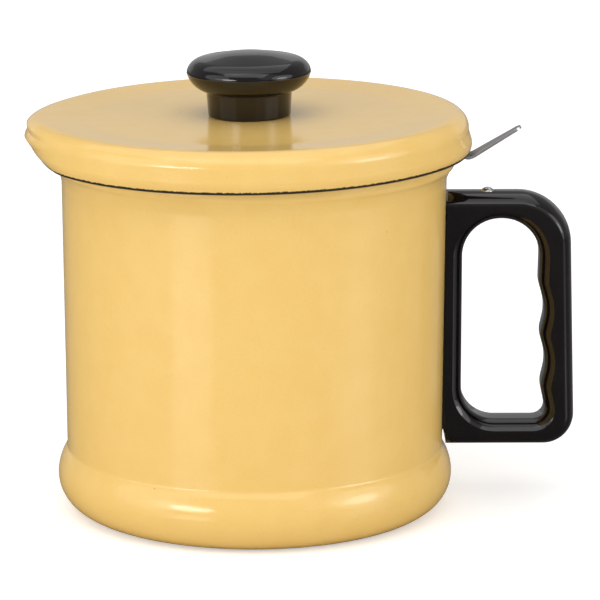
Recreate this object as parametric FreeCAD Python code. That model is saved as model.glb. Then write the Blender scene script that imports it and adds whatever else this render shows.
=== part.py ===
import FreeCAD, Part

import math
import os

# An enamelled oil and grease pot with a strainer, a lid and a phenolic handle. Units are millimetres.
# +Z is up and the origin is on the pot's axis, in the plane it stands on.
# The handle points along +X and the pouring spout along -X.

Vec = FreeCAD.Vector
ORIGIN = Vec(0, 0, 0)
UP = Vec(0, 0, 1)
ACROSS = Vec(0, 1, 0)
FULL_TURN = 360
ALONG = 200.0  # longer than any piece, for cuts that run right through

# Clearances
seat_gap = 0.3  # between a seated piece and its seat on another body
snug_gap = 0.15  # between pieces of one body that slide together on assembly

# Pot shell
sheet = 1.2  # steel with its enamel on both sides
pot_height = 139.8  # rim above the standing plane
wall_r = 68.0  # outer radius where the wall meets the neck
wall_draft = 0.52  # degrees, narrower towards the foot
foot_bulge = 2.4  # how far the foot stands out from the top of the wall
foot_roll = 12.4  # rounding under the foot
foot_height = 22.4  # junction of the foot and the wall
foot_shoulder = 15.3  # rounding over the foot
foot_crease = 2.0  # rounding of the crease above the foot
foot_lean = 36.0  # degrees, slope of the foot's top at the crease
neck_depth = 18.2  # lower bend of the neck, below the rim
neck_step = 3.0  # how far the collar stands out from the wall
neck_slope = 42.3  # degrees from vertical
neck_round = 8.0
collar_round = 2.5
lip_round = 0.5

# Pouring spout
spout_overhang = 5.1  # tip of the lip beyond the collar, before the lip is trimmed
spout_mouth_r = 17.0
spout_root_r = 12.0
spout_root_inset = 2.0  # root of the spout, inside the wall's outer face
spout_dip = 32.0  # degrees, fall of the lip towards its tip

# Handle
handle_width = 18.0
handle_crown = 4.1  # height of the elliptical crown round the outside
handle_top_drop = 25.6  # top of the handle, below the rim
handle_foot_gap = -0.2  # underside of the handle above the foot's crease
handle_reach = 46.4  # from the wall's radius to the outside of the grip, at its lower end
handle_lean = 1.6  # degrees, the grip leans out towards its lower end
handle_top_round = 19.0
handle_bottom_round = 11.0
handle_wall_gap = 0.4  # hollow back of the handle, clear of the wall
wall_bar = 5.2  # bar of the handle beside the wall
arm_top = 9.4
arm_bottom = 9.4
grip = 10.8  # thickness of the grip between its outside and the line of the finger wave
finger_wave = 2.3
finger_pitch = 18.7
finger_first = 23.3  # first finger ridge below the top of the opening
finger_last = 12.5  # least height of the last finger ridge above the bottom of the opening
ridge_round = 8.0
hollow_round = 15.0
opening_round = 12.0
opening_small_round = 4.5
bullnose = 6.5  # rounding of the opening's edges
bullnose_cut = 0.8  # the side faces cut the rounding off short of its end

# Handle bracket
strap = 1.5
strap_width = 14.0
tongue_width = 10.0
tongue_length = 20.5
tongue_bend = 1.2
tongue_depth = 4.6  # top of the upper tongue below the handle's top
tongue_lift = 3.6  # underside of the lower tongue above the handle's underside

# Handle fasteners, M3
screw_r = 1.5
screw_head_r = 2.4
screw_head = 1.9
screw_edge = 0.5
screw_dome = 3.0
screw_sink = 0.7  # depth of the upper screw head's seat
screw_sink_lower = 2.1
screw_offset = 14.5  # screw axis from the wall's radius
nut_side = 5.5
nut_height = 2.2
cross_length = 2.9
cross_width = 0.7
cross_depth = 1.2

# Lid
lid_overhang = 6.2  # skirt beyond the collar
lid_band = 20.2  # flat panel's edge inside the skirt
lid_panel_round = 60.0
lid_crest = 1.25  # rise of the panel's line at the lid's full radius
lid_shoulder = 5.8
lid_height = 12.7  # panel's top to the skirt's edge
lid_curl = 1.9  # how far the skirt's edge curls in
lid_curl_height = 3.4
lid_curl_round = 5.0
lid_shift = 1.6  # the tab pushes the lid towards the spout
nose_half_width = 38.0  # degrees each side of the spout
nose_top = -1.2
nose_shoulder = 2.5  # the shoulder stands out over the spout
nose_notch_z = -3.0
nose_notch = 1.1
nose_lip_z = -5.5
nose_lip = 2.1
nose_lip_fade = 3.4
nose_curl = 1.5  # the edge curls in under the nose
nose_start = 2.0  # inside the collar's radius
nose_run = 3.0
skirt_rise_start = 5.0  # inside the collar's radius, the skirt's edge climbs from here to the spout
skirt_rise = 8.0  # degrees
tab_flare_half_width = 50.0
tab_flare = 2.0  # the skirt's edge is wider towards the tab
tab_bulge_half_width = 14.0
tab_bulge_top = -6.0
tab_bulge = 0.3
ring_points = 120
station_gap = 1.2

# Knob
knob_r = 21.8
knob_height = 22.4
knob_stem_r = 14.5
knob_neck_r = 15.1
knob_neck = 8.9
knob_belly = 10.4
knob_belly_round = 7.5
knob_belly_in = 1.2
knob_belt = 15.4
knob_shoulder = 5.5
knob_fall = 3.0  # from the crown down to the shoulder's corner
knob_crown_r = 6.0
knob_crown_round = 40.0
insert_r = 4.0
insert_depth = 11.0
insert_flange_r = 5.2
insert_flange = 1.2
lid_screw_r = 2.0
lid_screw_head_r = 3.8
lid_screw_head = 2.4
lid_screw_length = 13.0
fibre_r = 6.5
fibre = 0.8
washer_r = 5.0
washer = 0.8
spring_washer_r = 3.6
spring_washer_height = 1.0
spring_washer_slit = 0.6
hole_gap = 0.4

# Strainer
ring_sheet = 0.6
ring_gap = 0.6  # rim of the ring to the collar's inside
ring_lip = 1.8
ring_lip_round = 1.0
ring_flange = 3.8
ring_depth = 12.0
ring_taper = 0.6
ring_bend = 1.5
ring_shelf = 4.0
mesh_thickness = 0.5
mesh_dip = 2.0
clamp_width = 3.4
clamp = 0.6

# Strainer's thumb tab
tab = 1.0
tab_width = 9.0
tab_tip_width = 4.4
tab_taper = 19.0
tab_rim_gap = 0.45
tab_lid_gap = 0.5
tab_bend = 1.4
tab_side_gap = 1.2  # tab to the outside of the rim
tab_hook_bend = 3.8
tab_hook_drop = 16.4  # hook's corner below the rim
tab_angle = 31.0
tab_length = 25.8
tab_foot = 4.5

# Radii and heights that follow
draft = math.tan(math.radians(wall_draft))
neck_z = pot_height - neck_depth
foot_r = wall_r + foot_bulge
foot_slope = math.tan(math.radians(foot_lean))
collar_r = wall_r + neck_step
collar_z = neck_z + neck_step / math.tan(math.radians(neck_slope))
collar_inner_r = collar_r - sheet
spout_reach = collar_r + spout_overhang
lid_r = collar_r + lid_overhang
lid_panel_r = lid_r - lid_band
crease_r = wall_r - (neck_z - foot_height) * draft


# ---------------------------------------------------------------- outlines


def rounded_edges(points, closed=True):
    """Edges through (x, z, rounding) points in the XZ plane; a point with no rounding is sharp."""
    count = len(points)
    corners = []
    for index, point in enumerate(points):
        here = Vec(point[0], 0, point[1])
        rounding = point[2] if len(point) > 2 else 0
        if rounding == 0 or (not closed and index in (0, count - 1)):
            corners.append((here, None, here))
            continue
        before = points[index - 1]
        after = points[(index + 1) % count]
        back = (Vec(before[0], 0, before[1]) - here).normalize()
        ahead = (Vec(after[0], 0, after[1]) - here).normalize()
        half = back.getAngle(ahead) / 2
        reach = rounding / math.tan(half)
        bisector = (back + ahead).normalize()
        middle = here + bisector * (rounding / math.sin(half) - rounding)
        corners.append((here + back * reach, middle, here + ahead * reach))
    edges = []
    for index, (start, middle, end) in enumerate(corners):
        if middle is not None:
            edges.append(Part.Arc(start, middle, end).toShape())
        if not closed and index == count - 1:
            break
        following = corners[(index + 1) % count][0]
        if end.distanceToPoint(following) > 1e-6:
            edges.append(Part.LineSegment(end, following).toShape())
    return edges


def rounded_face(points):
    """Flat face inside a closed outline in the XZ plane."""
    return Part.Face(Part.Wire(rounded_edges(points)))


def shifted(points, distance):
    """An open path moved sideways, to its left when positive; roundings keep their centres."""
    moved = []
    for index, point in enumerate(points):
        here = Vec(point[0], 0, point[1])
        before = points[max(index - 1, 0)]
        after = points[min(index + 1, len(points) - 1)]
        came = here - Vec(before[0], 0, before[1])
        goes = Vec(after[0], 0, after[1]) - here
        came = goes if came.Length == 0 else came
        goes = came if goes.Length == 0 else goes
        came = Vec(came).normalize()
        goes = Vec(goes).normalize()
        side = Vec(-came.z, 0, came.x) + Vec(-goes.z, 0, goes.x)
        place = here + side * (distance / (1 + came.dot(goes)))
        rounding = point[2] if len(point) > 2 else 0
        if rounding:
            turn = came.x * goes.z - came.z * goes.x
            rounding -= math.copysign(distance, distance * turn)
        moved.append((place.x, place.z, rounding))
    return moved


def revolved(points):
    """Solid turned about the Z axis from a closed (radius, height) outline."""
    return rounded_face(points).revolve(ORIGIN, UP, FULL_TURN)


def extruded(points, width):
    """Solid of a closed XZ outline, centred on Y = 0."""
    face = rounded_face(points)
    face.translate(Vec(0, -width / 2, 0))
    return face.extrude(Vec(0, width, 0))


def sheet_outline(path, thickness):
    """Closed outline of sheet that follows a path, with its thickness to the left."""
    return path + list(reversed(shifted(path, thickness)))


def upright(radius, bottom, top, x=0):
    """Round bar along Z."""
    return Part.makeCylinder(radius, top - bottom, Vec(x, 0, bottom))


def between(x_low, x_high, width, z_low, z_high):
    """Box between two X and two Z values, centred on Y = 0."""
    return Part.makeBox(x_high - x_low, width, z_high - z_low, Vec(x_low, -width / 2, z_low))


# ---------------------------------------------------------------- pot


def pot_path():
    """Outer skin of the round pot, from the centre of the base up to the rim."""
    bulge_top = foot_height - (foot_r - crease_r) / foot_slope
    return [
        (0, 0),
        (foot_r, 0, foot_roll),
        (foot_r, bulge_top, foot_shoulder),
        (crease_r, foot_height, foot_crease),
        (wall_r, neck_z, neck_round),
        (collar_r, collar_z, collar_round),
        (collar_r, pot_height),
    ]


def spout_cone(inset, over):
    """Leaning cone of the spout; inset makes the inside one, which runs on above the rim."""
    root_x = wall_r - spout_root_inset - spout_root_r
    mouth_x = spout_reach - spout_mouth_r
    rise = (neck_depth + over) / neck_depth
    top_x = root_x + (mouth_x - root_x) * rise
    top_r = spout_root_r + (spout_mouth_r - spout_root_r) * rise
    root = Part.makeCircle(spout_root_r - inset, Vec(-root_x, 0, neck_z))
    top = Part.makeCircle(top_r - inset, Vec(-top_x, 0, pot_height + over))
    return Part.makeLoft([Part.Wire(root), Part.Wire(top)], True, True)


def pot_shell():
    """Drawn and enamelled body: foot, wall, neck ledge, rounded rim and pouring spout."""
    path = pot_path()
    inner = shifted(path, sheet)
    rim = [(collar_r, pot_height, lip_round), (collar_inner_r, pot_height, lip_round)]
    shell = revolved(path[:-1] + rim + list(reversed(inner))[1:])
    over = pot_height + sheet
    inside = revolved(inner + [(collar_inner_r, over), (0, over)])
    channel = spout_cone(sheet, sheet)
    spout = spout_cone(0, 0).cut(channel).cut(inside)
    shell = shell.cut(channel).fuse(spout)
    fall = math.tan(math.radians(spout_dip))
    start = collar_inner_r
    end = spout_reach + sheet
    lip_cut = [(-start, pot_height), (-start, over), (-end, over), (-end, pot_height - (end - start) * fall)]
    return shell.cut(extruded(lip_cut, ALONG)).removeSplitter()


# ---------------------------------------------------------------- handle and its bracket

handle_top = pot_height - handle_top_drop
handle_bottom = foot_height + handle_foot_gap
handle_back_r = wall_r + handle_wall_gap
grip_slope = math.tan(math.radians(handle_lean))
upper_tongue = handle_top - tongue_depth  # top face of the upper tongue
lower_tongue = handle_bottom + tongue_lift  # underside of the lower tongue
screw_x = wall_r + screw_offset


def outer_line(z):
    """Outside of the grip at a height."""
    return wall_r + handle_reach - (z - handle_bottom) * grip_slope


def handle_contour():
    """Outside of the handle from the wall along the top, down the grip and back to the wall."""
    start = wall_r - handle_crown
    return [
        (start, handle_top),
        (outer_line(handle_top), handle_top, handle_top_round),
        (outer_line(handle_bottom), handle_bottom, handle_bottom_round),
        (start, handle_bottom),
    ]


def crowned_bar():
    """The handle's solid form: flat sides and an elliptical crown that runs round the outside."""
    inner = shifted(handle_contour(), -handle_crown)
    plate = extruded(inner, handle_width)
    start = Vec(inner[0][0], 0, inner[0][1])
    half_width = handle_width / 2
    ellipse = Part.Ellipse(start, half_width, handle_crown)
    ellipse.Axis = Vec(1, 0, 0)
    ellipse.XAxis = ACROSS
    ridge = Part.Wire(rounded_edges(inner, closed=False)).makePipe(Part.Face(Part.Wire(ellipse.toShape())))
    return plate.fuse(ridge)


def opening_outline():
    """Opening for the hand: round at the top, finger ridges on the grip's side."""
    left = handle_back_r + wall_bar
    top = handle_top - arm_top
    bottom = handle_bottom + arm_bottom
    round_top = (outer_line(top) - grip - left) / 2.05
    finger_count = 1 + int((top - bottom - finger_first - finger_last) / finger_pitch + 0.01)
    points = [(left, bottom, opening_round), (left, top, round_top)]
    points.append((outer_line(top) - grip, top, round_top))
    for finger in range(finger_count):
        ridge_z = top - finger_first - finger * finger_pitch
        hollow_z = ridge_z - finger_pitch / 2
        points.append((outer_line(ridge_z) - grip - finger_wave / 2, ridge_z, ridge_round))
        if finger < finger_count - 1:
            points.append((outer_line(hollow_z) - grip + finger_wave / 2, hollow_z, hollow_round))
    points.append((outer_line(bottom) - grip + finger_wave / 2, bottom, opening_small_round))
    return points


def opening_cutter():
    """The opening with its edges rounded over, and the rounding cut short by the side faces."""
    depth = handle_width + 2 * bullnose_cut
    margin = 2 * bullnose
    outline = opening_outline()
    xs = [point[0] for point in outline]
    zs = [point[1] for point in outline]
    block = between(min(xs) - margin, max(xs) + margin, depth, min(zs) - margin, max(zs) + margin)
    frame = block.cut(extruded(outline, depth + 2))
    rims = []
    for edge in frame.Edges:
        box = edge.BoundBox
        on_side = box.YLength < 1e-6
        within_x = box.XMin > min(xs) - 1 and box.XMax < max(xs) + 1
        within_z = box.ZMin > min(zs) - 1 and box.ZMax < max(zs) + 1
        if on_side and within_x and within_z:
            rims.append(edge)
    frame = frame.makeFillet(bullnose, rims)
    return block.cut(frame)


def strap_zone(width, deepest):
    """Hollow for the strap in the back of the handle."""
    low = lower_tongue
    high = upper_tongue
    return upright(wall_r + deepest, low, high).common(between(0, ALONG, width, low, high))


def handle():
    """Phenolic moulding with a hollow back, a channel for the strap and slots for its tongues."""
    body = crowned_bar()
    body = body.cut(upright(handle_back_r, handle_bottom - 1, handle_top + 1))
    body = body.cut(opening_cutter())
    body = body.cut(strap_zone(strap_width + 2 * snug_gap, strap + snug_gap))
    slot_end = wall_r + tongue_length + snug_gap
    slot_width = tongue_width + 2 * snug_gap
    slot_height = strap + nut_height + snug_gap
    upper_slot = between(0, slot_end, slot_width, upper_tongue - slot_height, upper_tongue)
    lower_slot = between(0, slot_end, slot_width, lower_tongue, lower_tongue + slot_height)
    body = body.cut(upper_slot).cut(lower_slot)
    hole_r = screw_r + snug_gap
    seat_r = screw_head_r + snug_gap
    body = body.cut(upright(hole_r, upper_tongue, handle_top, screw_x))
    body = body.cut(upright(seat_r, handle_top - screw_sink, handle_top + 1, screw_x))
    body = body.cut(upright(hole_r, handle_bottom, lower_tongue, screw_x))
    return body.cut(upright(seat_r, handle_bottom - 1, handle_bottom + screw_sink_lower, screw_x))


def handle_bracket():
    """Strap welded up the wall, with both ends bent out as tongues."""
    middle = strap_width / 2
    path = [
        (wall_r + tongue_length, lower_tongue),
        (wall_at(lower_tongue), lower_tongue, tongue_bend + strap),
        (wall_at(upper_tongue), upper_tongue, tongue_bend + strap),
        (wall_r + tongue_length, upper_tongue),
    ]
    strip = extruded(sheet_outline(path, -strap), tongue_width)
    low = lower_tongue + tongue_bend + strap
    high = upper_tongue - tongue_bend - strap
    face = rounded_face([
        (wall_at(low) - 1, low),
        (wall_at(low) + strap, low),
        (wall_at(high) + strap, high),
        (wall_at(high) - 1, high),
    ])
    half_angle = math.degrees(math.asin(middle / (wall_r + strap)))
    face.rotate(ORIGIN, UP, -half_angle)
    back = face.revolve(ORIGIN, UP, 2 * half_angle)
    solid = strip.fuse(back).cut(wall_solid())
    for z in (upper_tongue, lower_tongue):
        solid = solid.cut(upright(screw_r + snug_gap, z - 2 * strap, z + 2 * strap, screw_x))
    return solid.removeSplitter()


def wall_at(z):
    """Outer radius of the pot's straight wall at a height."""
    return wall_r - (neck_z - z) * draft


def wall_solid():
    """The pot's straight wall as a solid cone, for pieces that lie against it."""
    return Part.makeCone(wall_at(0), wall_at(pot_height), pot_height)


def machine_screw(radius, head_r, head, length, dome):
    """Raised-head screw with a cross recess: head seated at z = 0, shank down."""
    outline = [
        (0, -length),
        (radius - screw_edge, -length),
        (radius, -length + screw_edge),
        (radius, 0),
        (head_r, 0),
        (head_r, head),
        (0, head),
    ]
    screw = revolved(outline)
    ball = Part.makeSphere(dome, Vec(0, 0, head - dome))
    screw = screw.common(ball.fuse(upright(head_r, -length, 0)))
    for turn in (0, 90):
        slot = between(-cross_length / 2, cross_length / 2, cross_width, head - cross_depth, head + 1)
        slot.rotate(ORIGIN, UP, turn)
        screw = screw.cut(slot)
    return screw


def handle_screw(lower):
    """Handle screw in its place: from above, or turned over for the lower arm."""
    length = tongue_depth - screw_sink + strap + nut_height
    if lower:
        length = tongue_lift - screw_sink_lower + strap + nut_height
    screw = machine_screw(screw_r, screw_head_r, screw_head, length, screw_dome)
    if lower:
        screw.rotate(ORIGIN, Vec(1, 0, 0), 180)
        screw.translate(Vec(screw_x, 0, handle_bottom + screw_sink_lower))
    else:
        screw.translate(Vec(screw_x, 0, handle_top - screw_sink))
    return screw


def handle_nut(lower):
    """Square nut on the far side of a tongue."""
    bottom = lower_tongue + strap if lower else upper_tongue - strap - nut_height
    nut = between(screw_x - nut_side / 2, screw_x + nut_side / 2, nut_side, bottom, bottom + nut_height)
    return nut.cut(upright(screw_r, bottom - 1, bottom + nut_height + 1, screw_x))


# ---------------------------------------------------------------- strainer

ring_r = collar_inner_r - ring_gap
ring_wall_r = ring_r - ring_flange


def ring_seat():
    """Height of the ring's flange when its lower edge lies on the neck's ledge."""
    slope = math.radians(neck_slope)
    out_r = wall_r
    away = Vec(-math.cos(slope), 0, math.sin(slope))
    ledge = Vec(out_r, 0, neck_z) + away * sheet
    centre_r = ring_r - ring_lip_round
    reach = ring_lip_round + seat_gap
    rise = (reach - (centre_r - ledge.x) * away.x) / away.z
    return ledge.z + rise - ring_lip_round


flange_z = ring_seat()
shelf_z = flange_z - ring_depth


def strainer_ring():
    """Spun ring: turned-up rim, flange for the ledge, wall and the shelf that holds the mesh."""
    path = [
        (ring_r, flange_z + ring_lip),
        (ring_r, flange_z, ring_lip_round),
        (ring_wall_r, flange_z, ring_bend),
        (ring_wall_r - ring_taper, shelf_z, ring_bend),
        (ring_wall_r - ring_taper - ring_shelf, shelf_z),
    ]
    return revolved(sheet_outline(path, -ring_sheet))


def strainer_mesh():
    """Fine woven mesh, drawn as a thin disc that hangs a little at its middle."""
    edge = ring_wall_r - ring_taper - ring_bend
    shelf = shelf_z + ring_sheet
    flat = edge - ring_shelf
    path = [(0, shelf - mesh_dip), (flat * 0.35, shelf - mesh_dip, 30), (flat, shelf, 12), (edge, shelf)]
    return revolved(sheet_outline(path, mesh_thickness))


def mesh_ring():
    """Flat ring that clamps the mesh on the shelf."""
    edge = ring_wall_r - ring_taper - ring_bend
    bottom = shelf_z + ring_sheet + mesh_thickness
    ring = upright(edge, bottom, bottom + clamp)
    return ring.cut(upright(edge - clamp_width, bottom - 1, bottom + clamp + 1))


def tab_path():
    """Inner line of the thumb tab: from the flange up the collar, over the rim, down and out."""
    start_z = flange_z + ring_sheet
    inside_r = math.sqrt((ring_r - ring_sheet) ** 2 - (tab_width / 2) ** 2)
    over_z = pot_height + tab_rim_gap
    outside_r = collar_r + tab_side_gap
    hook_z = pot_height - tab_hook_drop
    run = math.radians(tab_angle)
    end_r = outside_r + tab_length * math.cos(run)
    return [
        (inside_r - tab_foot, start_z),
        (inside_r, start_z, tab_bend),
        (inside_r, over_z, tab_bend),
        (outside_r, over_z, tab_bend),
        (outside_r, hook_z, tab_hook_bend),
        (end_r, hook_z + tab_length * math.sin(run)),
    ]


def strainer_tab():
    """Bent strip that lifts the strainer out, with a rounded end."""
    path = tab_path()
    strip = extruded(sheet_outline(path, tab), tab_width)
    end = path[-1][0]
    tip_r = tab_tip_width / 2
    plan = between(0, end - tab_taper, tab_width, 0, 2 * pot_height)
    corners = (
        Vec(end - tab_taper, -tab_width / 2, 0),
        Vec(end - tip_r, -tip_r, 0),
        Vec(end - tip_r, tip_r, 0),
        Vec(end - tab_taper, tab_width / 2, 0),
    )
    taper = Part.Face(Part.makePolygon(corners + corners[:1])).extrude(UP * 2 * pot_height)
    return strip.common(plan.fuse([taper, upright(tip_r, 0, 2 * pot_height, end - tip_r)]))


# ---------------------------------------------------------------- lid, built level about its own axis

rim_middle_r = collar_r - sheet / 2
tab_lift = tab + tab_rim_gap + tab_lid_gap - seat_gap
lid_tilt = math.degrees(math.atan(tab_lift / (2 * rim_middle_r)))
crest_z = lid_crest * (collar_inner_r - lid_shift - lid_panel_r) / (lid_r - lid_panel_r)
lid_z = pot_height + seat_gap + sheet - crest_z + rim_middle_r * math.sin(math.radians(lid_tilt))


def placed_on_pot(shape):
    """Moves a lid piece to its seat: tilted by the tab under its edge and pushed to the spout."""
    shape.rotate(ORIGIN, ACROSS, -lid_tilt)
    shape.translate(Vec(-lid_shift, 0, lid_z))
    return shape


def lid_path():
    """Outer skin of the round lid, from its centre out and down to the skirt's edge."""
    return [
        (0, 0),
        (lid_panel_r, 0, lid_panel_round),
        (lid_r, lid_crest, lid_shoulder),
        (lid_r, lid_curl_height - lid_height, lid_curl_round),
        (lid_r - lid_curl, -lid_height),
    ]


def along(steps, z):
    """Value at a height, straight between (height, value) steps that run downwards."""
    for (z_high, high), (z_low, low) in zip(steps, steps[1:]):
        if z >= z_low:
            share = min(max((z_high - z) / (z_high - z_low), 0), 1)
            return high + (low - high) * share
    return steps[-1][1]


def swell(angle, z):
    """How far the lid's skin stands out from its round form: a nose at the spout, a bulge at the tab."""
    nose = [
        (nose_top, nose_shoulder),
        (nose_notch_z, nose_notch),
        (nose_lip_z, nose_lip),
        (nose_lip_z - nose_lip_fade, 0),
        (-lid_height, -nose_curl),
    ]
    flare = [(tab_bulge_top, 0), (-lid_height, tab_flare)]
    bulge = [(tab_bulge_top, 0), (-lid_height, tab_bulge)]
    total = 0
    forms = (
        (180, nose_half_width, nose),
        (0, tab_flare_half_width, flare),
        (0, tab_bulge_half_width, bulge),
    )
    for middle, half_width, steps in forms:
        share = abs((angle - middle + 180) % 360 - 180) / half_width
        if share < 1:
            total += along(steps, z) * math.cos(share * math.pi / 2) ** 2
    return total


def ring_at(radius, z):
    """Closed curve round the lid at one place of its profile."""
    points = []
    for step in range(ring_points):
        angle = FULL_TURN * (step + 0.5) / ring_points
        reach = radius + swell(angle, z) * min(max((radius - collar_r + nose_start) / nose_run, 0), 1)
        turn = math.radians(angle)
        points.append(Vec(reach * math.cos(turn), reach * math.sin(turn), z))
    curve = Part.BSplineCurve()
    curve.interpolate(points, PeriodicFlag=True)
    return Part.Wire(curve.toShape())


def lid_form(inset, below):
    """Solid inside the lid's skin; inset makes the inside one, which runs on below the skirt's edge."""
    path = lid_path()
    skin = shifted(path, -inset) if inset else path
    if below:
        skin = skin + [(skin[-1][0], -lid_height - below)]
    stations = []
    for edge in rounded_edges(skin, closed=False)[1:]:
        steps = max(2, round(edge.Length / station_gap))
        stations.extend(edge.discretize(steps + 1)[:-1])
    stations.append(Vec(skin[-1][0], 0, skin[-1][1]))
    rings = [ring_at(point.x, point.z) for point in stations]
    return Part.makeLoft(rings, True, False)


def lid_shell():
    """Pressed and enamelled lid: recessed panel, raised crest, shoulder and skirt."""
    shell = lid_form(0, 0).cut(lid_form(sheet, sheet))
    climb = math.tan(math.radians(skirt_rise))
    climb_start = collar_r - skirt_rise_start
    kept = [
        (-ALONG, ALONG),
        (-ALONG, (ALONG - climb_start) * climb - lid_height),
        (-climb_start, -lid_height),
        (ALONG, -lid_height),
        (ALONG, ALONG),
    ]
    shell = shell.common(extruded(kept, ALONG))
    return shell.cut(upright(lid_screw_r + hole_gap, -2 * sheet, sheet))


def knob():
    """Phenolic knob: short stem, rounded belly, parting belt and softly crowned top."""
    outline = [
        (0, 0),
        (knob_stem_r, 0, 0.8),
        (knob_neck_r, knob_neck, 0.8),
        (knob_r - knob_belly_in, knob_belly, knob_belly_round),
        (knob_r, knob_belt),
        (knob_r, knob_height - knob_fall, knob_shoulder),
        (knob_crown_r, knob_height, knob_crown_round),
        (0, knob_height),
    ]
    solid = revolved(outline)
    solid = solid.cut(upright(insert_r, -1, insert_depth))
    return solid.cut(upright(insert_flange_r, -1, insert_flange))


def knob_insert():
    """Threaded brass bush moulded into the knob, flanged at its mouth."""
    bush = upright(insert_r, 0, insert_depth).fuse(upright(insert_flange_r, 0, insert_flange))
    bush = bush.removeSplitter()
    return bush.cut(upright(lid_screw_r, -1, insert_depth - insert_flange))


def washer_disc(outer, inner, top, thickness):
    """Flat ring whose upper face is at a height."""
    ring = upright(outer, top - thickness, top)
    return ring.cut(upright(inner, top - thickness - 1, top + 1))


fibre_top = -sheet
washer_top = fibre_top - fibre
spring_top = washer_top - washer
head_top = spring_top - spring_washer_height


def fibre_washer():
    """Soft washer against the enamel inside the lid."""
    return washer_disc(fibre_r, lid_screw_r + hole_gap, fibre_top, fibre)


def flat_washer():
    """Steel washer on the soft one."""
    return washer_disc(washer_r, lid_screw_r + snug_gap, washer_top, washer)


def spring_washer():
    """Split washer under the screw's head."""
    ring = washer_disc(spring_washer_r, lid_screw_r + snug_gap, spring_top, spring_washer_height)
    return ring.cut(between(0, 2 * spring_washer_r, spring_washer_slit, head_top - 1, spring_top + 1))


def knob_screw():
    """Screw from inside the lid up into the knob's bush."""
    length = lid_screw_length
    screw = machine_screw(lid_screw_r, lid_screw_head_r, lid_screw_head, length, 2 * lid_screw_head_r)
    screw.rotate(ORIGIN, Vec(1, 0, 0), 180)
    screw.translate(Vec(0, 0, head_top))
    return screw


# ---------------------------------------------------------------- write the pieces


def pieces():
    """Every piece by name, in its place."""
    made = {
        "pot_shell": pot_shell(),
        "handle_bracket": handle_bracket(),
        "handle": handle(),
        "handle_screw_upper": handle_screw(lower=False),
        "handle_screw_lower": handle_screw(lower=True),
        "handle_nut_upper": handle_nut(lower=False),
        "handle_nut_lower": handle_nut(lower=True),
        "strainer_ring": strainer_ring(),
        "strainer_mesh": strainer_mesh(),
        "mesh_ring": mesh_ring(),
        "strainer_tab": strainer_tab(),
    }
    on_lid = {
        "lid_shell": lid_shell,
        "knob": knob,
        "knob_insert": knob_insert,
        "knob_screw": knob_screw,
        "spring_washer": spring_washer,
        "flat_washer": flat_washer,
        "fibre_washer": fibre_washer,
    }
    for name, make in on_lid.items():
        made[name] = placed_on_pot(make())
    return made


os.makedirs("parts", exist_ok=True)
for name, shape in pieces().items():
    shape.exportStep(f"parts/{name}.step")
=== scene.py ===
# %% [markdown]
# # An enamelled oil pot with a strainer, a lid and a moulded handle
# The pot's measured frame is already built: every joint, seat and outline is fixed by it.
# Here each visible piece is modelled again with finer curves and a real finish, in the same place.
# Sizes are written in millimetres, and MM turns them into Blender's metres.

# %% Load the frame
import math

import bmesh
import bpy
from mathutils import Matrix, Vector
from mathutils.kdtree import KDTree


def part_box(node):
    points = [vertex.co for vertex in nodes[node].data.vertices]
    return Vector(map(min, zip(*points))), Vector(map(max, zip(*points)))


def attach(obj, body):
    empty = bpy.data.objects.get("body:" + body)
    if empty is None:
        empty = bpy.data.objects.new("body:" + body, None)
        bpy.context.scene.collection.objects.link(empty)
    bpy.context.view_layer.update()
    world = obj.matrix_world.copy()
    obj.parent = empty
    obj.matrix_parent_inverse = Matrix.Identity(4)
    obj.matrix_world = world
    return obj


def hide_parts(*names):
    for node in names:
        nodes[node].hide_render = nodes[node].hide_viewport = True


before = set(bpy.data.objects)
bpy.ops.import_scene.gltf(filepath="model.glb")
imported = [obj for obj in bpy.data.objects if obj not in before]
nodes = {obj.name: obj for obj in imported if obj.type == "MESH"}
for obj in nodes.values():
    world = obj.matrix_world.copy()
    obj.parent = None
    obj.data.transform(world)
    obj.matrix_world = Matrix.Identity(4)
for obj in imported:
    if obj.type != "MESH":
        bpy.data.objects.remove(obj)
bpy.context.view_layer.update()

MM = 0.001

# %% [markdown]
# ## Camera
# The pot is seen from the front, a little above its rim, by a long lens from 1.4 m away.
# A long lens keeps the pot's sides nearly parallel. A short one close by would make the lid look
# too large for the foot.

# %% Camera
CAMERA_BACK = 1.3597
CAMERA_UP = 0.3945
LOOK_DOWN = 0.2312
PAN = 0.0119
camera_data = bpy.data.cameras.new("camera")
camera_data.lens = 235.5
camera_data.sensor_width = 36
camera = bpy.data.objects.new("camera", camera_data)
bpy.context.scene.collection.objects.link(camera)
camera.location = (0, -CAMERA_BACK, CAMERA_UP)
camera.rotation_euler = (math.radians(90) - LOOK_DOWN, 0, -PAN)
bpy.context.scene.camera = camera
bpy.context.scene.view_settings.view_transform = "Standard"
print("camera", tuple(camera.location))

# %% [markdown]
# ## Working with nodes
# A material is a tree of nodes. By hand each node is dropped in the editor and wired to the next
# one. Here put drops a node, feed wires a socket or sets its value, and a short helper stands for
# each kind of node that is needed again and again.

# %% Dropping nodes and wiring them
NODE_COLUMNS = 8
NODE_WIDTH, NODE_HEIGHT = 200, 300


def feed(tree, socket, source):
    """Links a socket to a source, or sets it to a plain value; a colour is given by three numbers."""
    if isinstance(source, bpy.types.NodeSocket):
        tree.links.new(source, socket)
    else:
        socket.default_value = (*source, 1) if socket.type == "RGBA" else source


def put(tree, kind, fed=(), **settings):
    """Adds a node with its settings and feeds its sockets, given as {socket: source}."""
    node = tree.nodes.new(kind)
    row, column = divmod(len(tree.nodes), NODE_COLUMNS)
    node.location = (NODE_WIDTH * column, -NODE_HEIGHT * row)
    for key, value in settings.items():
        setattr(node, key, value)
    for key, source in dict(fed).items():
        feed(tree, node.inputs[key], source)
    return node


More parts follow.
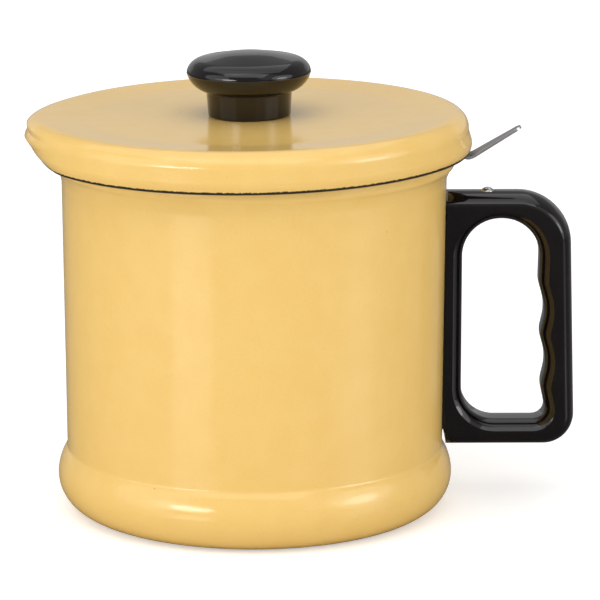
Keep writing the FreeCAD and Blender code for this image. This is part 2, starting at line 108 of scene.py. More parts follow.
def new_material(name):
    """An empty material; returns it with its node tree and the socket for its surface."""
    material = bpy.data.materials.new(name)
    material.use_nodes = True
    tree = material.node_tree
    tree.nodes.clear()
    return material, tree, put(tree, "ShaderNodeOutputMaterial").inputs["Surface"]


# %% Nodes that are used again and again
def sums(tree, operation, *values, clamp=False):
    """The result of a sum on one or two values."""
    fed = dict(enumerate(values))
    return put(tree, "ShaderNodeMath", fed, operation=operation, use_clamp=clamp).outputs[0]


def ramp(tree, value, low, high, start=0.0, end=1.0):
    """A smooth step: start up to low, end from high on."""
    fed = dict(enumerate((value, low, high, start, end)))
    return put(tree, "ShaderNodeMapRange", fed, interpolation_type="SMOOTHSTEP").outputs[0]


def blend(tree, share, first, second):
    """Mixes two colours by a share."""
    return put(tree, "ShaderNodeMix", {0: share, 6: first, 7: second}, data_type="RGBA").outputs[2]


def mixed(tree, share, first, second):
    """Mixes two shaders by a share."""
    return put(tree, "ShaderNodeMixShader", {0: share, 1: first, 2: second}).outputs[0]


# %% [markdown]
# ## Studio
# Glossy enamel and phenolic show whatever stands round them, so the lamps are large soft panels.
# Three hang overhead, of which the one high in front does most of the work, and one stands low
# behind. At each side, wide weak panels fill the shade and small brighter ones make the highlights
# on the wall. One big lamp would be simpler, but it would leave the sides of the pot flat.
# The floor is white paper. For the camera alone it gets a little extra light, so that it reads as
# white while the pot's own soft shadow stays on it. In reflections it is dark, with a sheen where it
# is seen at a grazing angle, so that black resin stays black.

# %% Floor
bpy.ops.object.select_all(action="DESELECT")
bpy.ops.mesh.primitive_circle_add(vertices=96, radius=5, fill_type="NGON", location=(0, 0, 0))
floor = bpy.context.object
floor.name = "studio_floor"
print("floor is", round(floor.dimensions.x, 1), "m across")

# %% Paper of the floor
PAPER = (0.86, 0.86, 0.86)
PAPER_IN_GLOSS = (0.10, 0.10, 0.10)
paper, tree, surface = new_material("studio_paper")
rays = put(tree, "ShaderNodeLightPath").outputs
colour = blend(tree, rays["Is Glossy Ray"], PAPER, PAPER_IN_GLOSS)
matt = put(tree, "ShaderNodeBsdfDiffuse", {"Color": colour})
sheen = put(tree, "ShaderNodeBsdfGlossy", {"Roughness": 0.20})
grazing = put(tree, "ShaderNodeFresnel", {"IOR": 1.5})
mirror_share = sums(tree, "MULTIPLY", grazing.outputs[0], rays["Is Glossy Ray"])
reflecting = mixed(tree, mirror_share, matt.outputs[0], sheen.outputs[0])
print("paper nodes", len(tree.nodes))

# %% Extra light on the paper, for the camera alone
GLOW_FROM, GLOW_TO = 0.3, 1.6
GLOW_NEAR, GLOW_FAR = 0.42, 0.80
where = put(tree, "ShaderNodeTexCoord").outputs["Object"]
away = put(tree, "ShaderNodeVectorMath", {0: where}, operation="LENGTH").outputs["Value"]
glow = ramp(tree, away, GLOW_FROM, GLOW_TO, GLOW_NEAR, GLOW_FAR)
lift = put(tree, "ShaderNodeEmission", {"Strength": sums(tree, "MULTIPLY", glow, rays["Is Camera Ray"])})
feed(tree, surface, put(tree, "ShaderNodeAddShader", {0: reflecting, 1: lift.outputs[0]}).outputs[0])
floor.data.materials.append(paper)
print("paper nodes", len(tree.nodes))

# %% World light
world = bpy.data.worlds.new("studio")
bpy.context.scene.world = world
world.use_nodes = True
tree = world.node_tree
tree.nodes.clear()
rays = put(tree, "ShaderNodeLightPath").outputs


def sky(strength):
    """White light of a strength from all round."""
    return put(tree, "ShaderNodeBackground", {"Color": (1, 1, 1), "Strength": strength}).outputs[0]


seen = mixed(tree, rays["Is Glossy Ray"], sky(0.33), sky(0.30))
seen = mixed(tree, rays["Is Camera Ray"], seen, sky(1.0))
feed(tree, put(tree, "ShaderNodeOutputWorld").inputs["Surface"], seen)
print("world nodes", len(tree.nodes))


# %% Soft panels
def soft_panel(name, place, size, power, shape="ELLIPSE"):
    """A soft lamp that faces the pot's middle; the ends of a rounded one fade out in a reflection."""
    lamp = bpy.data.lights.new(name, "AREA")
    lamp.shape = shape
    lamp.size, lamp.size_y = size
    lamp.energy = power
    holder = bpy.data.objects.new(name, lamp)
    bpy.context.scene.collection.objects.link(holder)
    holder.location = place
    aim = Vector((0, 0, 0.08)) - Vector(place)
    holder.rotation_mode = "QUATERNION"
    holder.rotation_quaternion = aim.to_track_quat("-Z", "Y")


soft_panel("panel_top", (-0.1, 0.25, 1.4), (2.0, 1.8), 7.6, "RECTANGLE")
soft_panel("panel_brow", (-0.15, -0.5, 1.4), (2.0, 1.2), 2.0, "RECTANGLE")
soft_panel("panel_high", (-0.2, -1.2, 1.75), (2.6, 1.2), 12.0, "RECTANGLE")
soft_panel("panel_back", (0.0, 1.7, 0.42), (3.0, 0.7), 1.6, "RECTANGLE")
soft_panel("panel_left", (-1.2, -0.6, 0.5), (1.3, 1.1), 3.4)
soft_panel("panel_left_middle", (-0.85, -0.85, 0.27), (0.9, 0.34), 0.8)
soft_panel("panel_left_bright", (-0.72, -0.97, 0.25), (0.58, 0.20), 2.2)
soft_panel("panel_right", (1.1, -0.5, 0.4), (1.0, 0.8), 2.6)
soft_panel("panel_right_bright", (1.0, -0.5, 0.30), (0.45, 0.26), 1.1)
soft_panel("panel_right_wide", (0.9, -1.0, 0.8), (1.2, 1.2), 1.3)
print("lamps", len(bpy.data.lights))

# %% [markdown]
# ## Turned pieces
# The pot, knob, strainer ring and screws are all round. By hand such a piece is drawn as a wire
# outline in the XZ plane, its corners are rounded by a vertex bevel, and the wire is spun about Z.
# A mesh sphere or cylinder pushed into shape would be quicker but could not hold these exact bends.


# %% Small helpers for object and edit mode
def leave_edit_mode():
    """Back to object mode, with nothing selected."""
    if bpy.context.mode != "OBJECT":
        bpy.ops.object.mode_set(mode="OBJECT")
    bpy.ops.object.select_all(action="DESELECT")


def alone(piece):
    """Object mode, with one piece selected and active."""
    leave_edit_mode()
    piece.select_set(True)
    bpy.context.view_layer.objects.active = piece


def edit(piece):
    """Edit mode on one piece alone."""
    alone(piece)
    bpy.ops.object.mode_set(mode="EDIT")


def pick(piece, kind, test):
    """Selects the vertices, edges or faces that pass a test; returns how many."""
    bpy.ops.mesh.select_all(action="DESELECT")
    bpy.ops.mesh.select_mode(type=kind)
    shape = bmesh.from_edit_mesh(piece.data)
    items = {"VERT": shape.verts, "EDGE": shape.edges, "FACE": shape.faces}[kind]
    found = [item for item in items if test(item)]
    for item in found:
        item.select_set(True)
    shape.select_flush_mode()
    bmesh.update_edit_mesh(piece.data)
    return len(found)


def near(place, reach=0.01):
    """Test for a vertex at a place, within a reach."""
    spot = Vector(place) * MM
    return lambda vertex: (vertex.co - spot).length < reach * MM


# %% Drawing a wire outline
def start_wire(name, place):
    """A new piece in edit mode: a plane merged to the single vertex that a wire starts from."""
    leave_edit_mode()
    bpy.ops.mesh.primitive_plane_add(size=MM)
    piece = bpy.context.object
    piece.name = name
    piece.data.name = name
    bpy.ops.object.mode_set(mode="EDIT")
    bpy.ops.mesh.select_mode(type="VERT")
    bpy.ops.mesh.merge(type="CENTER")
    bpy.ops.transform.translate(value=Vector(place) * MM)
    return piece


def draw_on(places):
    """Extrudes the selected vertex along places; the first of them is where it is now."""
    for here, there in zip(places, places[1:]):
        step = (Vector(there) - Vector(here)) * MM
        bpy.ops.mesh.extrude_vertices_move(TRANSFORM_OT_translate={"value": step})


def rounding(corner):
    """The radius of an (x, z, radius) corner, or 0 for a sharp (x, z) one."""
    return corner[2] if len(corner) > 2 else 0


def round_corners(piece, corners, closed, y=0.0, turn=9.0):
    """Bevels each corner that has a rounding; turn is the most that one segment bends, in degrees."""
    count = len(corners)
    for index, corner in enumerate(corners):
        if not rounding(corner) or (not closed and index in (0, count - 1)):
            continue
        before = corners[index - 1]
        after = corners[(index + 1) % count]
        here = Vector((corner[0], y, corner[1]))
        back = Vector((before[0], y, before[1])) - here
        ahead = Vector((after[0], y, after[1])) - here
        bend = math.pi - back.angle(ahead)
        pick(piece, "VERT", near(here))
        bpy.ops.mesh.bevel(
            offset=rounding(corner) * math.tan(bend / 2) * MM,
            segments=max(2, math.ceil(math.degrees(bend) / turn)),
            affect="VERTICES", offset_type="OFFSET", profile=0.5, clamp_overlap=False)


def drawn(name, corners, closed=False, y=0.0, turn=9.0):
    """A piece that is a wire through (x, z) or (x, z, radius) corners."""
    places = [(corner[0], y, corner[1]) for corner in corners]
    piece = start_wire(name, places[0])
    draw_on(places)
    if closed:
        ends = (near(places[0]), near(places[-1]))
        pick(piece, "VERT", lambda vertex: ends[0](vertex) or ends[1](vertex))
        bpy.ops.mesh.edge_face_add()
    round_corners(piece, corners, closed, y, turn)
    return piece


# %% Cutting a long straight run into rows
ON_THE_RUN = 0.02
LONG_SHARE = 0.3


def rows_between(piece, low, high, cuts):
    """Subdivides the wire's long edge that lies on the run between two (x, z) places."""
    low = Vector(low)
    run = Vector(high) - low

    def long_and_on_run(edge):
        for vertex in edge.verts:
            end = Vector((vertex.co.x, vertex.co.z)) / MM - low
            share = end.dot(run) / run.length_squared
            if (end - run * share).length > ON_THE_RUN or not -0.001 <= share <= 1.001:
                return False
        return edge.calc_length() > run.length * MM * LONG_SHARE

    if pick(piece, "EDGE", long_and_on_run):
        bpy.ops.mesh.subdivide(number_cuts=cuts)


# %% Spinning and closing a turned piece
def close_skin(gap=0.002):
    """Merges the doubled vertices of the piece in edit mode, points its faces outwards, leaves edit mode."""
    bpy.ops.mesh.select_all(action="SELECT")
    bpy.ops.mesh.remove_doubles(threshold=gap * MM)
    bpy.ops.mesh.normals_make_consistent(inside=False)
    bpy.ops.object.mode_set(mode="OBJECT")


def spun(piece, steps):
    """Spins the wire a full turn about Z and closes its seam and poles."""
    bpy.ops.mesh.select_all(action="SELECT")
    bpy.ops.mesh.spin(steps=steps, angle=2 * math.pi, center=(0, 0, 0), axis=(0, 0, 1), use_auto_merge=True)
    close_skin()
    print(piece.name, "spun to", len(piece.data.polygons), "faces")
    return piece


# %% Turning an open skin the right way
def flip(piece):
    """Turns all faces of a skin over."""
    edit(piece)
    bpy.ops.mesh.select_all(action="SELECT")
    bpy.ops.mesh.flip_normals()
    bpy.ops.object.mode_set(mode="OBJECT")
    print(piece.name, "turned over")


def face_outwards(piece, inside):
    """Turns the skin over if its faces look towards a place inside it."""
    middle = Vector(inside) * MM
    facing = 0
    for face in piece.data.polygons:
        facing += (face.center - middle).normalized().dot(face.normal) * face.area
    if facing < 0:
        flip(piece)


# %% Walls, soft rims and shading
def with_modifier(piece, kind, **settings):
    """Adds a modifier with its settings and applies it."""
    alone(piece)
    modifier = piece.modifiers.new(kind.lower(), kind)
    for key, value in settings.items():
        setattr(modifier, key, value)
    bpy.ops.object.modifier_apply(modifier=modifier.name)


def thicken(piece, thickness, even=True):
    """Gives a skin its wall on the inner side, with flat rims."""
    with_modifier(piece, "SOLIDIFY", thickness=thickness * MM, offset=-1, use_even_offset=even,
                  use_quality_normals=True, use_rim=True)


def soften_rims(piece, width, test=lambda edge: True, steps=3, angle=50):
    """Bevels the sharp edges that pass a test, as the flat rims of a sheet are; returns their ends."""
    edit(piece)
    limit = math.radians(angle)
    found = pick(piece, "EDGE", lambda e: len(e.link_faces) == 2 and e.calc_face_angle(0) > limit and test(e))
    shape = bmesh.from_edit_mesh(piece.data)
    rims = [tuple(v.co.copy() for v in e.verts) for e in shape.edges if e.select]
    bpy.ops.mesh.bevel(offset=width * MM, segments=steps, affect="EDGES", profile=0.5, clamp_overlap=True)
    bpy.ops.object.mode_set(mode="OBJECT")
    print(piece.name, "softened", found, "edges")
    return rims


def mark_edges(piece, rims=(), reach=6.0):
    """Stores each vertex's distance to the nearest rim, for finishes that change there."""
    tree = KDTree(4 * len(rims) + 1)
    far_off = Vector((0, 0, -9))
    tree.insert(far_off, 0)
    for first, second in rims:
        for step in range(4):
            tree.insert(first.lerp(second, step / 4), 0)
    tree.balance()
    layer = piece.data.attributes.new("edge_mm", "FLOAT", "POINT")
    for index, vertex in enumerate(piece.data.vertices):
        layer.data[index].value = min(tree.find(vertex.co)[2] / MM, reach)


def smooth(piece, angle=30):
    """Smooth shading that keeps edges sharper than the angle crisp."""
    alone(piece)
    bpy.ops.object.shade_smooth_by_angle(angle=math.radians(angle))
    piece.select_set(False)


# %% [markdown]
# ## Pot
# The real pot is drawn from steel sheet: a rolled foot, a nearly straight wall, a stepped neck whose
# ledge carries the strainer, and a collar. The spout is pressed out of the collar.
# The outer skin is spun first, the spout is then pushed out of its rows, and Solidify gives the wall.
# A boolean of a cone would leave a hard seam where the press leaves a soft one.

# %% Pot sizes
SHEET = 1.2
POT_TOP = 139.8
WALL_R = 68.0
NECK_STEP = 3.0
NECK_Z = POT_TOP - 18.2
COLLAR_R = WALL_R + NECK_STEP
COLLAR_Z = NECK_Z + NECK_STEP / math.tan(math.radians(42.3))
CREASE_Z = 22.4
CREASE_R = WALL_R - (NECK_Z - CREASE_Z) * math.tan(math.radians(0.52))
FOOT_R = WALL_R + 2.4
FOOT_TOP = CREASE_Z - (FOOT_R - CREASE_R) / math.tan(math.radians(36))

# %% Pot skin
pot = drawn("pot_body", [
    (0, 0),
    (FOOT_R, 0, 12.4),
    (FOOT_R, FOOT_TOP, 15.3),
    (CREASE_R, CREASE_Z, 2.0),
    (WALL_R, NECK_Z, 8.0),
    (COLLAR_R, COLLAR_Z, 2.5),
    (COLLAR_R, POT_TOP),
], turn=5)
rows_between(pot, (0, 0), (FOOT_R, 0), 5)
rows_between(pot, (CREASE_R, CREASE_Z), (WALL_R, NECK_Z), 23)
rows_between(pot, (COLLAR_R, COLLAR_Z), (COLLAR_R, POT_TOP), 9)
spun(pot, 320)
face_outwards(pot, (0, 0, POT_TOP / 2))

# %% [markdown]
# ### Spout
# The press pushes the collar out over a leaning cone and lets the lip fall towards its tip. In each
# direction the wall goes to the cone or stays on the collar, whichever is further out, with a soft
# change between them. The rows under the lip are drawn down with it, so they stay evenly spaced.

# %% Spout sizes, and the cone it is pressed over
SPOUT_REACH = COLLAR_R + 5.5
ROOT_RADIUS, MOUTH_RADIUS = 12.0, 17.0
ROOT_MIDDLE = WALL_R - 2.0 - ROOT_RADIUS
MOUTH_MIDDLE = SPOUT_REACH - MOUTH_RADIUS
LIP_FALL = math.tan(math.radians(32))
SPOUT_HALF_TURN = math.radians(30)
SPOUT_FOOT = NECK_Z - 6
SPOUT_BLEND = 1.6


def cone_reach(turn, height):
    """Distance from the pot's axis to the cone of the spout, or 0 where it is missed."""
    share = (height - NECK_Z) / (POT_TOP - NECK_Z)
    middle = ROOT_MIDDLE + (MOUTH_MIDDLE - ROOT_MIDDLE) * share
    radius = ROOT_RADIUS + (MOUTH_RADIUS - ROOT_RADIUS) * share
    side = middle * math.sin(turn)
    return middle * math.cos(turn) + math.sqrt(radius ** 2 - side ** 2) if abs(side) < radius else 0


def lip_height(turn):
    """Height at which the column of the spout's wall meets the falling lip, found by halving."""
    low, high = NECK_Z, POT_TOP
    for _ in range(30):
        middle = (low + high) / 2
        out = max(cone_reach(turn, middle), COLLAR_R) * math.cos(turn)
        limit = POT_TOP - max(out - (COLLAR_R - SHEET), 0) * LIP_FALL
        low, high = (middle, high) if middle < limit else (low, middle)
    return low


def soft_max(first, second, change):
    """The larger of two values, rounded where they are alike."""
    return max(first, second) + max(change - abs(first - second), 0) ** 2 / (4 * change)


# %% Pushing the spout out
def box_of(piece):
    """The low and the high corner round a piece's vertices, in millimetres."""
    places = [vertex.co / MM for vertex in piece.data.vertices]
    return [[round(end(place[axis] for place in places), 2) for axis in range(3)] for end in (min, max)]


for vertex in pot.data.vertices:
    x, y, z = vertex.co / MM
    turn = math.atan2(y, -x)
    if z < SPOUT_FOOT or abs(turn) > SPOUT_HALF_TURN:
        continue
    if z > NECK_Z:
        z = NECK_Z + (z - NECK_Z) * (lip_height(turn) - NECK_Z) / (POT_TOP - NECK_Z)
    reach = soft_max(math.hypot(x, y), cone_reach(turn, z), SPOUT_BLEND)
    vertex.co = Vector((-reach * math.cos(turn), reach * math.sin(turn), z)) * MM
print("spout tip at", box_of(pot)[0][0])

# %% Wall thickness and rim
RIM_SOFT = 0.5
rim_from = (POT_TOP - 11.8) * MM
thicken(pot, SHEET)
pot_rims = soften_rims(pot, RIM_SOFT, lambda e: min(v.co.z for v in e.verts) > rim_from, steps=4)
mark_edges(pot, pot_rims)
smooth(pot, 40)

# %% [markdown]
# ## Lid
# The lid is a pressing: a flat recessed panel, a raised crest, a rounded shoulder and a skirt that
# curls in at its edge. Over the spout the skirt is pushed out into a nose, and towards the tab it
# flares a little. It is spun round first, because its panel and crest are round, and the nose and
# the flare are then worked into the rows of the skirt.

# %% Lid sizes
LID_R = COLLAR_R + 6.2
PANEL_R = LID_R - 20.2
SCREW_HOLE = 2.4
CREST = 1.25
SKIRT = 13.6
CURL, CURL_START = 1.9, 3.4 - SKIRT
SHOULDER_LOW = -6

# %% [markdown]
# The lid rests on the rim at the spout's side and on the strainer's tab at the other, which tilts it
# by less than a degree. The tab has also pushed it a little towards the spout.

# %% How the lid lies
SHIFT = 1.6
SEAT = 0.3
TAB_THICK = 1.0
TAB_GAP = 0.45
LID_OVER_TAB = 0.5
lid_crest_z = CREST * (COLLAR_R - SHEET - SHIFT - PANEL_R) / (LID_R - PANEL_R)
rim_middle = COLLAR_R - SHEET / 2
tilt = math.atan((TAB_THICK + TAB_GAP + LID_OVER_TAB - SEAT) / (2 * rim_middle))
lid_z = POT_TOP + SEAT + SHEET - lid_crest_z + rim_middle * math.sin(tilt)
print("lid height", round(lid_z, 3), "tilt in degrees", round(math.degrees(tilt), 3))

# %% How far the skirt stands out from its round form
NOSE = [(-1.2, 2.5), (-3.0, 1.1), (-5.5, 2.1), (-8.9, 0), (-SKIRT, -1.5)]
FLARE = [(SHOULDER_LOW, 0), (-SKIRT, 2.0)]
BULGE = [(SHOULDER_LOW, 0), (-SKIRT, 0.3)]
SWELLINGS = ((180, 38, NOSE), (0, 50, FLARE), (0, 14, BULGE))


def along(steps, z):
    """Value at a height, straight between (height, value) steps that run downwards."""
    for (z_high, high), (z_low, low) in zip(steps, steps[1:]):
        if z >= z_low:
            share = min(max((z_high - z) / (z_high - z_low), 0), 1)
            return high + (low - high) * share
    return steps[-1][1]


def swell(turn, z):
    """Turn is in degrees from the tab; the nose stands at half a turn."""
    total = 0
    for middle, half_width, steps in SWELLINGS:
        share = abs((turn - middle + 180) % 360 - 180) / half_width
        if share < 1:
            total += along(steps, z) * math.cos(share * math.pi / 2) ** 2
    return total


# %% Lid skin
lid = drawn("lid_pressing", [
    (SCREW_HOLE, 0),
    (PANEL_R, 0, 60),
    (LID_R, CREST, 5.8),
    (LID_R, CURL_START, 5.0),
    (LID_R - CURL, -SKIRT),
], turn=4)
rows_between(lid, (SCREW_HOLE, 0), (PANEL_R, 0), 14)
rows_between(lid, (PANEL_R, 0), (LID_R, CREST), 11)
rows_between(lid, (LID_R, CREST), (LID_R, CURL_START), 5)
rows_between(lid, (LID_R, CURL_START), (LID_R - CURL, -SKIRT), 3)
spun(lid, 320)
face_outwards(lid, (0, 0, -10))

# %% Nose and flare of the skirt
NOSE_CLIMB = math.tan(math.radians(8))
NOSE_FROM = COLLAR_R - 5
SKIRT_FROM, SKIRT_CHANGE = COLLAR_R - 2, 3
for vertex in lid.data.vertices:
    x, y, z = vertex.co / MM
    round_r = math.hypot(x, y)
    turn = math.atan2(y, x)
    on_skirt = min(max((round_r - SKIRT_FROM) / SKIRT_CHANGE, 0), 1)
    reach = round_r + swell(math.degrees(turn), z) * on_skirt
    x, y = reach * math.cos(turn), reach * math.sin(turn)
    if z < SHOULDER_LOW:
        z += max(-x - NOSE_FROM, 0) * NOSE_CLIMB * (SHOULDER_LOW - z) / (SKIRT + SHOULDER_LOW)
    vertex.co = Vector((x, y, z)) * MM

# %% Lid wall, its rim and the edge of its hole
HOLE_SOFT = 0.3
rim_below = -8 * MM
hole_within = (SCREW_HOLE + 0.1) * MM
thicken(lid, SHEET)
lid_rims = soften_rims(lid, RIM_SOFT, lambda e: min(v.co.z for v in e.verts) < rim_below, steps=4)
lid_rims += soften_rims(lid, HOLE_SOFT, lambda e: max(v.co.xy.length for v in e.verts) < hole_within, steps=2)
mark_edges(lid, lid_rims)


# %% Placing what belongs to the lid
def applied(piece, place, turns=(0, 0, 0)):
    """Moves a piece, turns it by three angles in radians and puts both into its mesh."""
    alone(piece)
    piece.location = Vector(place) * MM
    piece.rotation_euler = turns
    bpy.ops.object.transform_apply(location=True, rotation=True, scale=True)
    return piece


def on_lid(piece, angle):
    """Tilts a level lid piece, moves it to where the lid lies and gives it smooth shading."""
    applied(piece, (-SHIFT, 0, lid_z), (0, -tilt, 0))
    smooth(piece, angle)


on_lid(lid, 40)
print("lid box", box_of(lid))

# %% [markdown]
# ## Knob
# A phenolic knob is moulded in two halves of a steel tool, so a fine line runs round its belt where
# they met. The head is a shallow dome on a short stem. One closed outline holds all of that and the
# pocket for the brass bush underneath.

# %% Knob
KNOB_R = 21.8
KNOB_TOP = 22.4
SEAM_Z, SEAM_HALF = 15.4, 0.12
STEM_R = 14.5
BUSH_R, BUSH_TOP = 4.0, 11.0
FLANGE_R, FLANGE_TOP = 5.2, 1.2
UNDERSIDE_Z = 8.9
knob = drawn("knob_moulding", [
    (0, KNOB_TOP),
    (6.0, KNOB_TOP, 40),
    (KNOB_R, KNOB_TOP - 3.0, 5.5),
    (KNOB_R, SEAM_Z + SEAM_HALF),
    (KNOB_R + 0.08, SEAM_Z, 0.05),
    (KNOB_R - 0.02, SEAM_Z - SEAM_HALF),
    (KNOB_R - 1.2, UNDERSIDE_Z + 1.5, 7.5),
    (STEM_R + 0.6, UNDERSIDE_Z, 0.8),
    (STEM_R, 0, 0.8),
    (FLANGE_R, 0),
    (FLANGE_R, FLANGE_TOP),
    (BUSH_R, FLANGE_TOP),
    (BUSH_R, BUSH_TOP),
    (0, BUSH_TOP),
], turn=5)
spun(knob, 160)
on_lid(knob, 35)

# %% [markdown]
# ## Screws
# A raised-head screw is turned like the rest. Its cross recess is cut by two tapered wedges, as the
# punch does it. The thread is worked into closely spaced rows: each vertex moves in by the depth of
# the groove where the helix passes it, which gives a true helix for very few faces.

# %% A screw without thread or recess, head up, seated at z = 0
CHAMFER = 0.45
PLAIN_SHANK = 0.3
ROWS_PER_TURN = 8


def screw_blank(name, radius, head_r, head, dome, length, pitch):
    """The turned body of a screw; dome is the radius of its head's top."""
    rise = dome - math.sqrt(dome ** 2 - head_r ** 2)
    piece = drawn(name, [
        (0, -length),
        (radius - CHAMFER, -length),
        (radius, CHAMFER - length),
        (radius, -PLAIN_SHANK),
        (radius, 0),
        (head_r, 0, 0.15),
        (head_r, head - rise, 0.3),
        (head_r * 0.72, head - rise * 0.5),
        (head_r * 0.4, head - rise * 0.14),
        (0, head),
    ], turn=15)
    rows = int(length / pitch * ROWS_PER_TURN)
    rows_between(piece, (radius, CHAMFER - length), (radius, -PLAIN_SHANK), rows)
    return spun(piece, 32)


# %% Its thread
GROOVE_DEPTH = 0.6
GROOVE_SLOPE = 2.6
END_ROW = 0.05


def cut_thread(piece, radius, length, pitch):
    """Moves the shank's vertices in where the helix passes; the groove fades out under the head."""
    low, high = CHAMFER - length - END_ROW, -PLAIN_SHANK - END_ROW
    for vertex in piece.data.vertices:
        x, y, z = vertex.co / MM
        round_r = math.hypot(x, y)
        if abs(round_r - radius) > 0.02 or not low < z < high:
            continue
        phase = (z / pitch + math.atan2(y, x) / (2 * math.pi)) % 1
        depth = GROOVE_DEPTH * pitch * max(0, 1 - abs(phase - 0.5) * GROOVE_SLOPE)
        fade = min(1, (high - z) / pitch)
        vertex.co.xy *= (round_r - depth * fade) / round_r


# %% Its cross recess
RECESS_SHARE = 0.62
RECESS_HALF = 0.36
RECESS_TAPER = 0.45


def cut(piece, tool, operation="DIFFERENCE"):
    """Applies a boolean and removes its tool."""
    with_modifier(piece, "BOOLEAN", operation=operation, object=tool, solver="EXACT")
    bpy.data.objects.remove(tool)


def cut_recess(piece, head_r, head):
    """Cuts two crossing wedges out of the head."""
    for turn in (0, 90):
        leave_edit_mode()
        bpy.ops.mesh.primitive_cube_add(size=2 * MM, location=(0, 0, (head + 0.05) * MM))
        wedge = bpy.context.object
        wedge.scale = (head_r * RECESS_SHARE, RECESS_HALF, head * RECESS_SHARE)
        wedge.rotation_euler = (0, 0, math.radians(turn))
        bpy.ops.object.transform_apply(location=True, rotation=True, scale=True)
        edit(wedge)
        pick(wedge, "FACE", lambda face: face.normal.z < -0.9)
        bpy.ops.transform.resize(value=(RECESS_TAPER, RECESS_TAPER, 1))
        bpy.ops.object.mode_set(mode="OBJECT")
        cut(piece, wedge)


def screw(name, radius, head_r, head, dome, length, pitch):
    """A raised-head screw with a cross recess and a helical thread."""
    piece = screw_blank(name, radius, head_r, head, dome, length, pitch)
    cut_thread(piece, radius, length, pitch)
    cut_recess(piece, head_r, head)
    return piece


# %% Screw under the lid
FIBRE_THICK, FLAT_THICK, SPRING_THICK = 0.8, 0.8, 1.0
UPSIDE_DOWN = (math.pi, 0, 0)
knob_screw = screw("knob_screw_turned", radius=2.0, head_r=3.8, head=2.4, dome=7.6, length=13.0, pitch=0.7)
applied(knob_screw, (0, 0, -(SHEET + FIBRE_THICK + FLAT_THICK + SPRING_THICK)), UPSIDE_DOWN)
on_lid(knob_screw, 30)
print("knob screw box", box_of(knob_screw))


# %% Washers under the lid
def washer(name, outer, inner, top, thick, edge):
    """A flat ring with softened edges, at its height under the lid."""
    low = top - thick
    corners = [(inner, top, edge), (outer, top, edge), (outer, low, edge), (inner, low, edge)]
    piece = spun(drawn(name, corners, closed=True, turn=30), 64)
    on_lid(piece, 40)
    return piece


red_washer = washer("washer_fibre", 6.5, 2.4, -SHEET, FIBRE_THICK, 0.2)
steel_washer = washer("washer_flat", 5.0, 2.15, -SHEET - FIBRE_THICK, FLAT_THICK, 0.12)

# %% [markdown]
# ## Strainer
# A spun steel ring hangs by its flange on the ledge of the neck. Its shelf carries a disc of woven
# wire, held down by a flat ring. The ring is thin sheet, so it is spun as a skin and thickened. The
# flat ring is thick for its width, so its whole section is drawn and spun.

# %% Strainer ring
RING_SHEET = 0.6
RING_R = COLLAR_R - SHEET - 0.6
RING_LIP = 1.8
CUP_R = RING_R - 3.8
CUP_LOW_R = CUP_R - 0.6
FLANGE_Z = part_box("strainer_ring")[1].z / MM - RING_LIP
SHELF_Z = FLANGE_Z - 12.0
SHELF = 4.0
STEEL_SOFT = 0.22
ring = drawn("strainer_ring_spun", [
    (RING_R, FLANGE_Z + RING_LIP),
    (RING_R, FLANGE_Z, 1.0),
    (CUP_R, FLANGE_Z, 1.5),
    (CUP_LOW_R, SHELF_Z, 1.5),
    (CUP_LOW_R - SHELF, SHELF_Z),
], turn=10)
rows_between(ring, (CUP_R, FLANGE_Z), (CUP_LOW_R, SHELF_Z), 5)
spun(ring, 192)
face_outwards(ring, (0, 0, FLANGE_Z))
thicken(ring, RING_SHEET)
mark_edges(ring, soften_rims(ring, STEEL_SOFT))
smooth(ring, 35)

# %% Ring that clamps the mesh
MESH_SPACE = 0.5
MESH_R = CUP_LOW_R - 1.5
clamp_in = MESH_R - 3.4
clamp_low = SHELF_Z + RING_SHEET + MESH_SPACE
clamp_top = clamp_low + 0.6
clamp = drawn("mesh_clamp", [
    (clamp_in, clamp_low, 0.1),
    (clamp_in, clamp_top, 0.25),
    (MESH_R, clamp_top, 0.25),
    (MESH_R, clamp_low, 0.1),
], closed=True, turn=20)
spun(clamp, 192)
smooth(clamp, 35)

# %% [markdown]
# ### Woven mesh
# A flat disc with a painted weave would show no light between its wires, so every wire is modelled.
# One wire is drawn with its waves and copied across by an array, beside a second one with its waves
# the other way up. The same set turned a quarter makes the other layer, and the two pass over and
# under each other. The weave is then cut to a disc and sags a little in the middle.

# %% Sizes of the mesh, and one wire
PITCH = 1.9
WIRE_R = 0.17
WAVE = 0.15
HALF_COUNT = int(MESH_R / PITCH) + 1


def wavy_wire(name, side):
    """One wire along X, crossing above and below its neighbours at every pitch."""
    start = -HALF_COUNT * PITCH
    places = []
    for step in range(4 * HALF_COUNT + 1):
        height = (0, WAVE, 0, -WAVE)[step % 4] * side
        places.append((start + step * PITCH / 2, 0, height))
    piece = start_wire(name, places[0])
    draw_on(places)
    alone(piece)
    bpy.ops.object.convert(target="CURVE")
    curve = bpy.context.object.data
    curve.bevel_depth = WIRE_R * MM
    curve.bevel_resolution = 0
    bpy.ops.object.convert(target="MESH")
    return bpy.context.object


# %% Joining and copying pieces
def join(pieces):
    """Joins pieces into the first one."""
    alone(pieces[0])
    for piece in pieces:
        piece.select_set(True)
    bpy.ops.object.join()
    return pieces[0]


def copied(piece, name):
    """A copy with its own mesh."""
    twin = piece.copy()
    twin.data = piece.data.copy()
    twin.name = name
    bpy.context.scene.collection.objects.link(twin)
    return twin


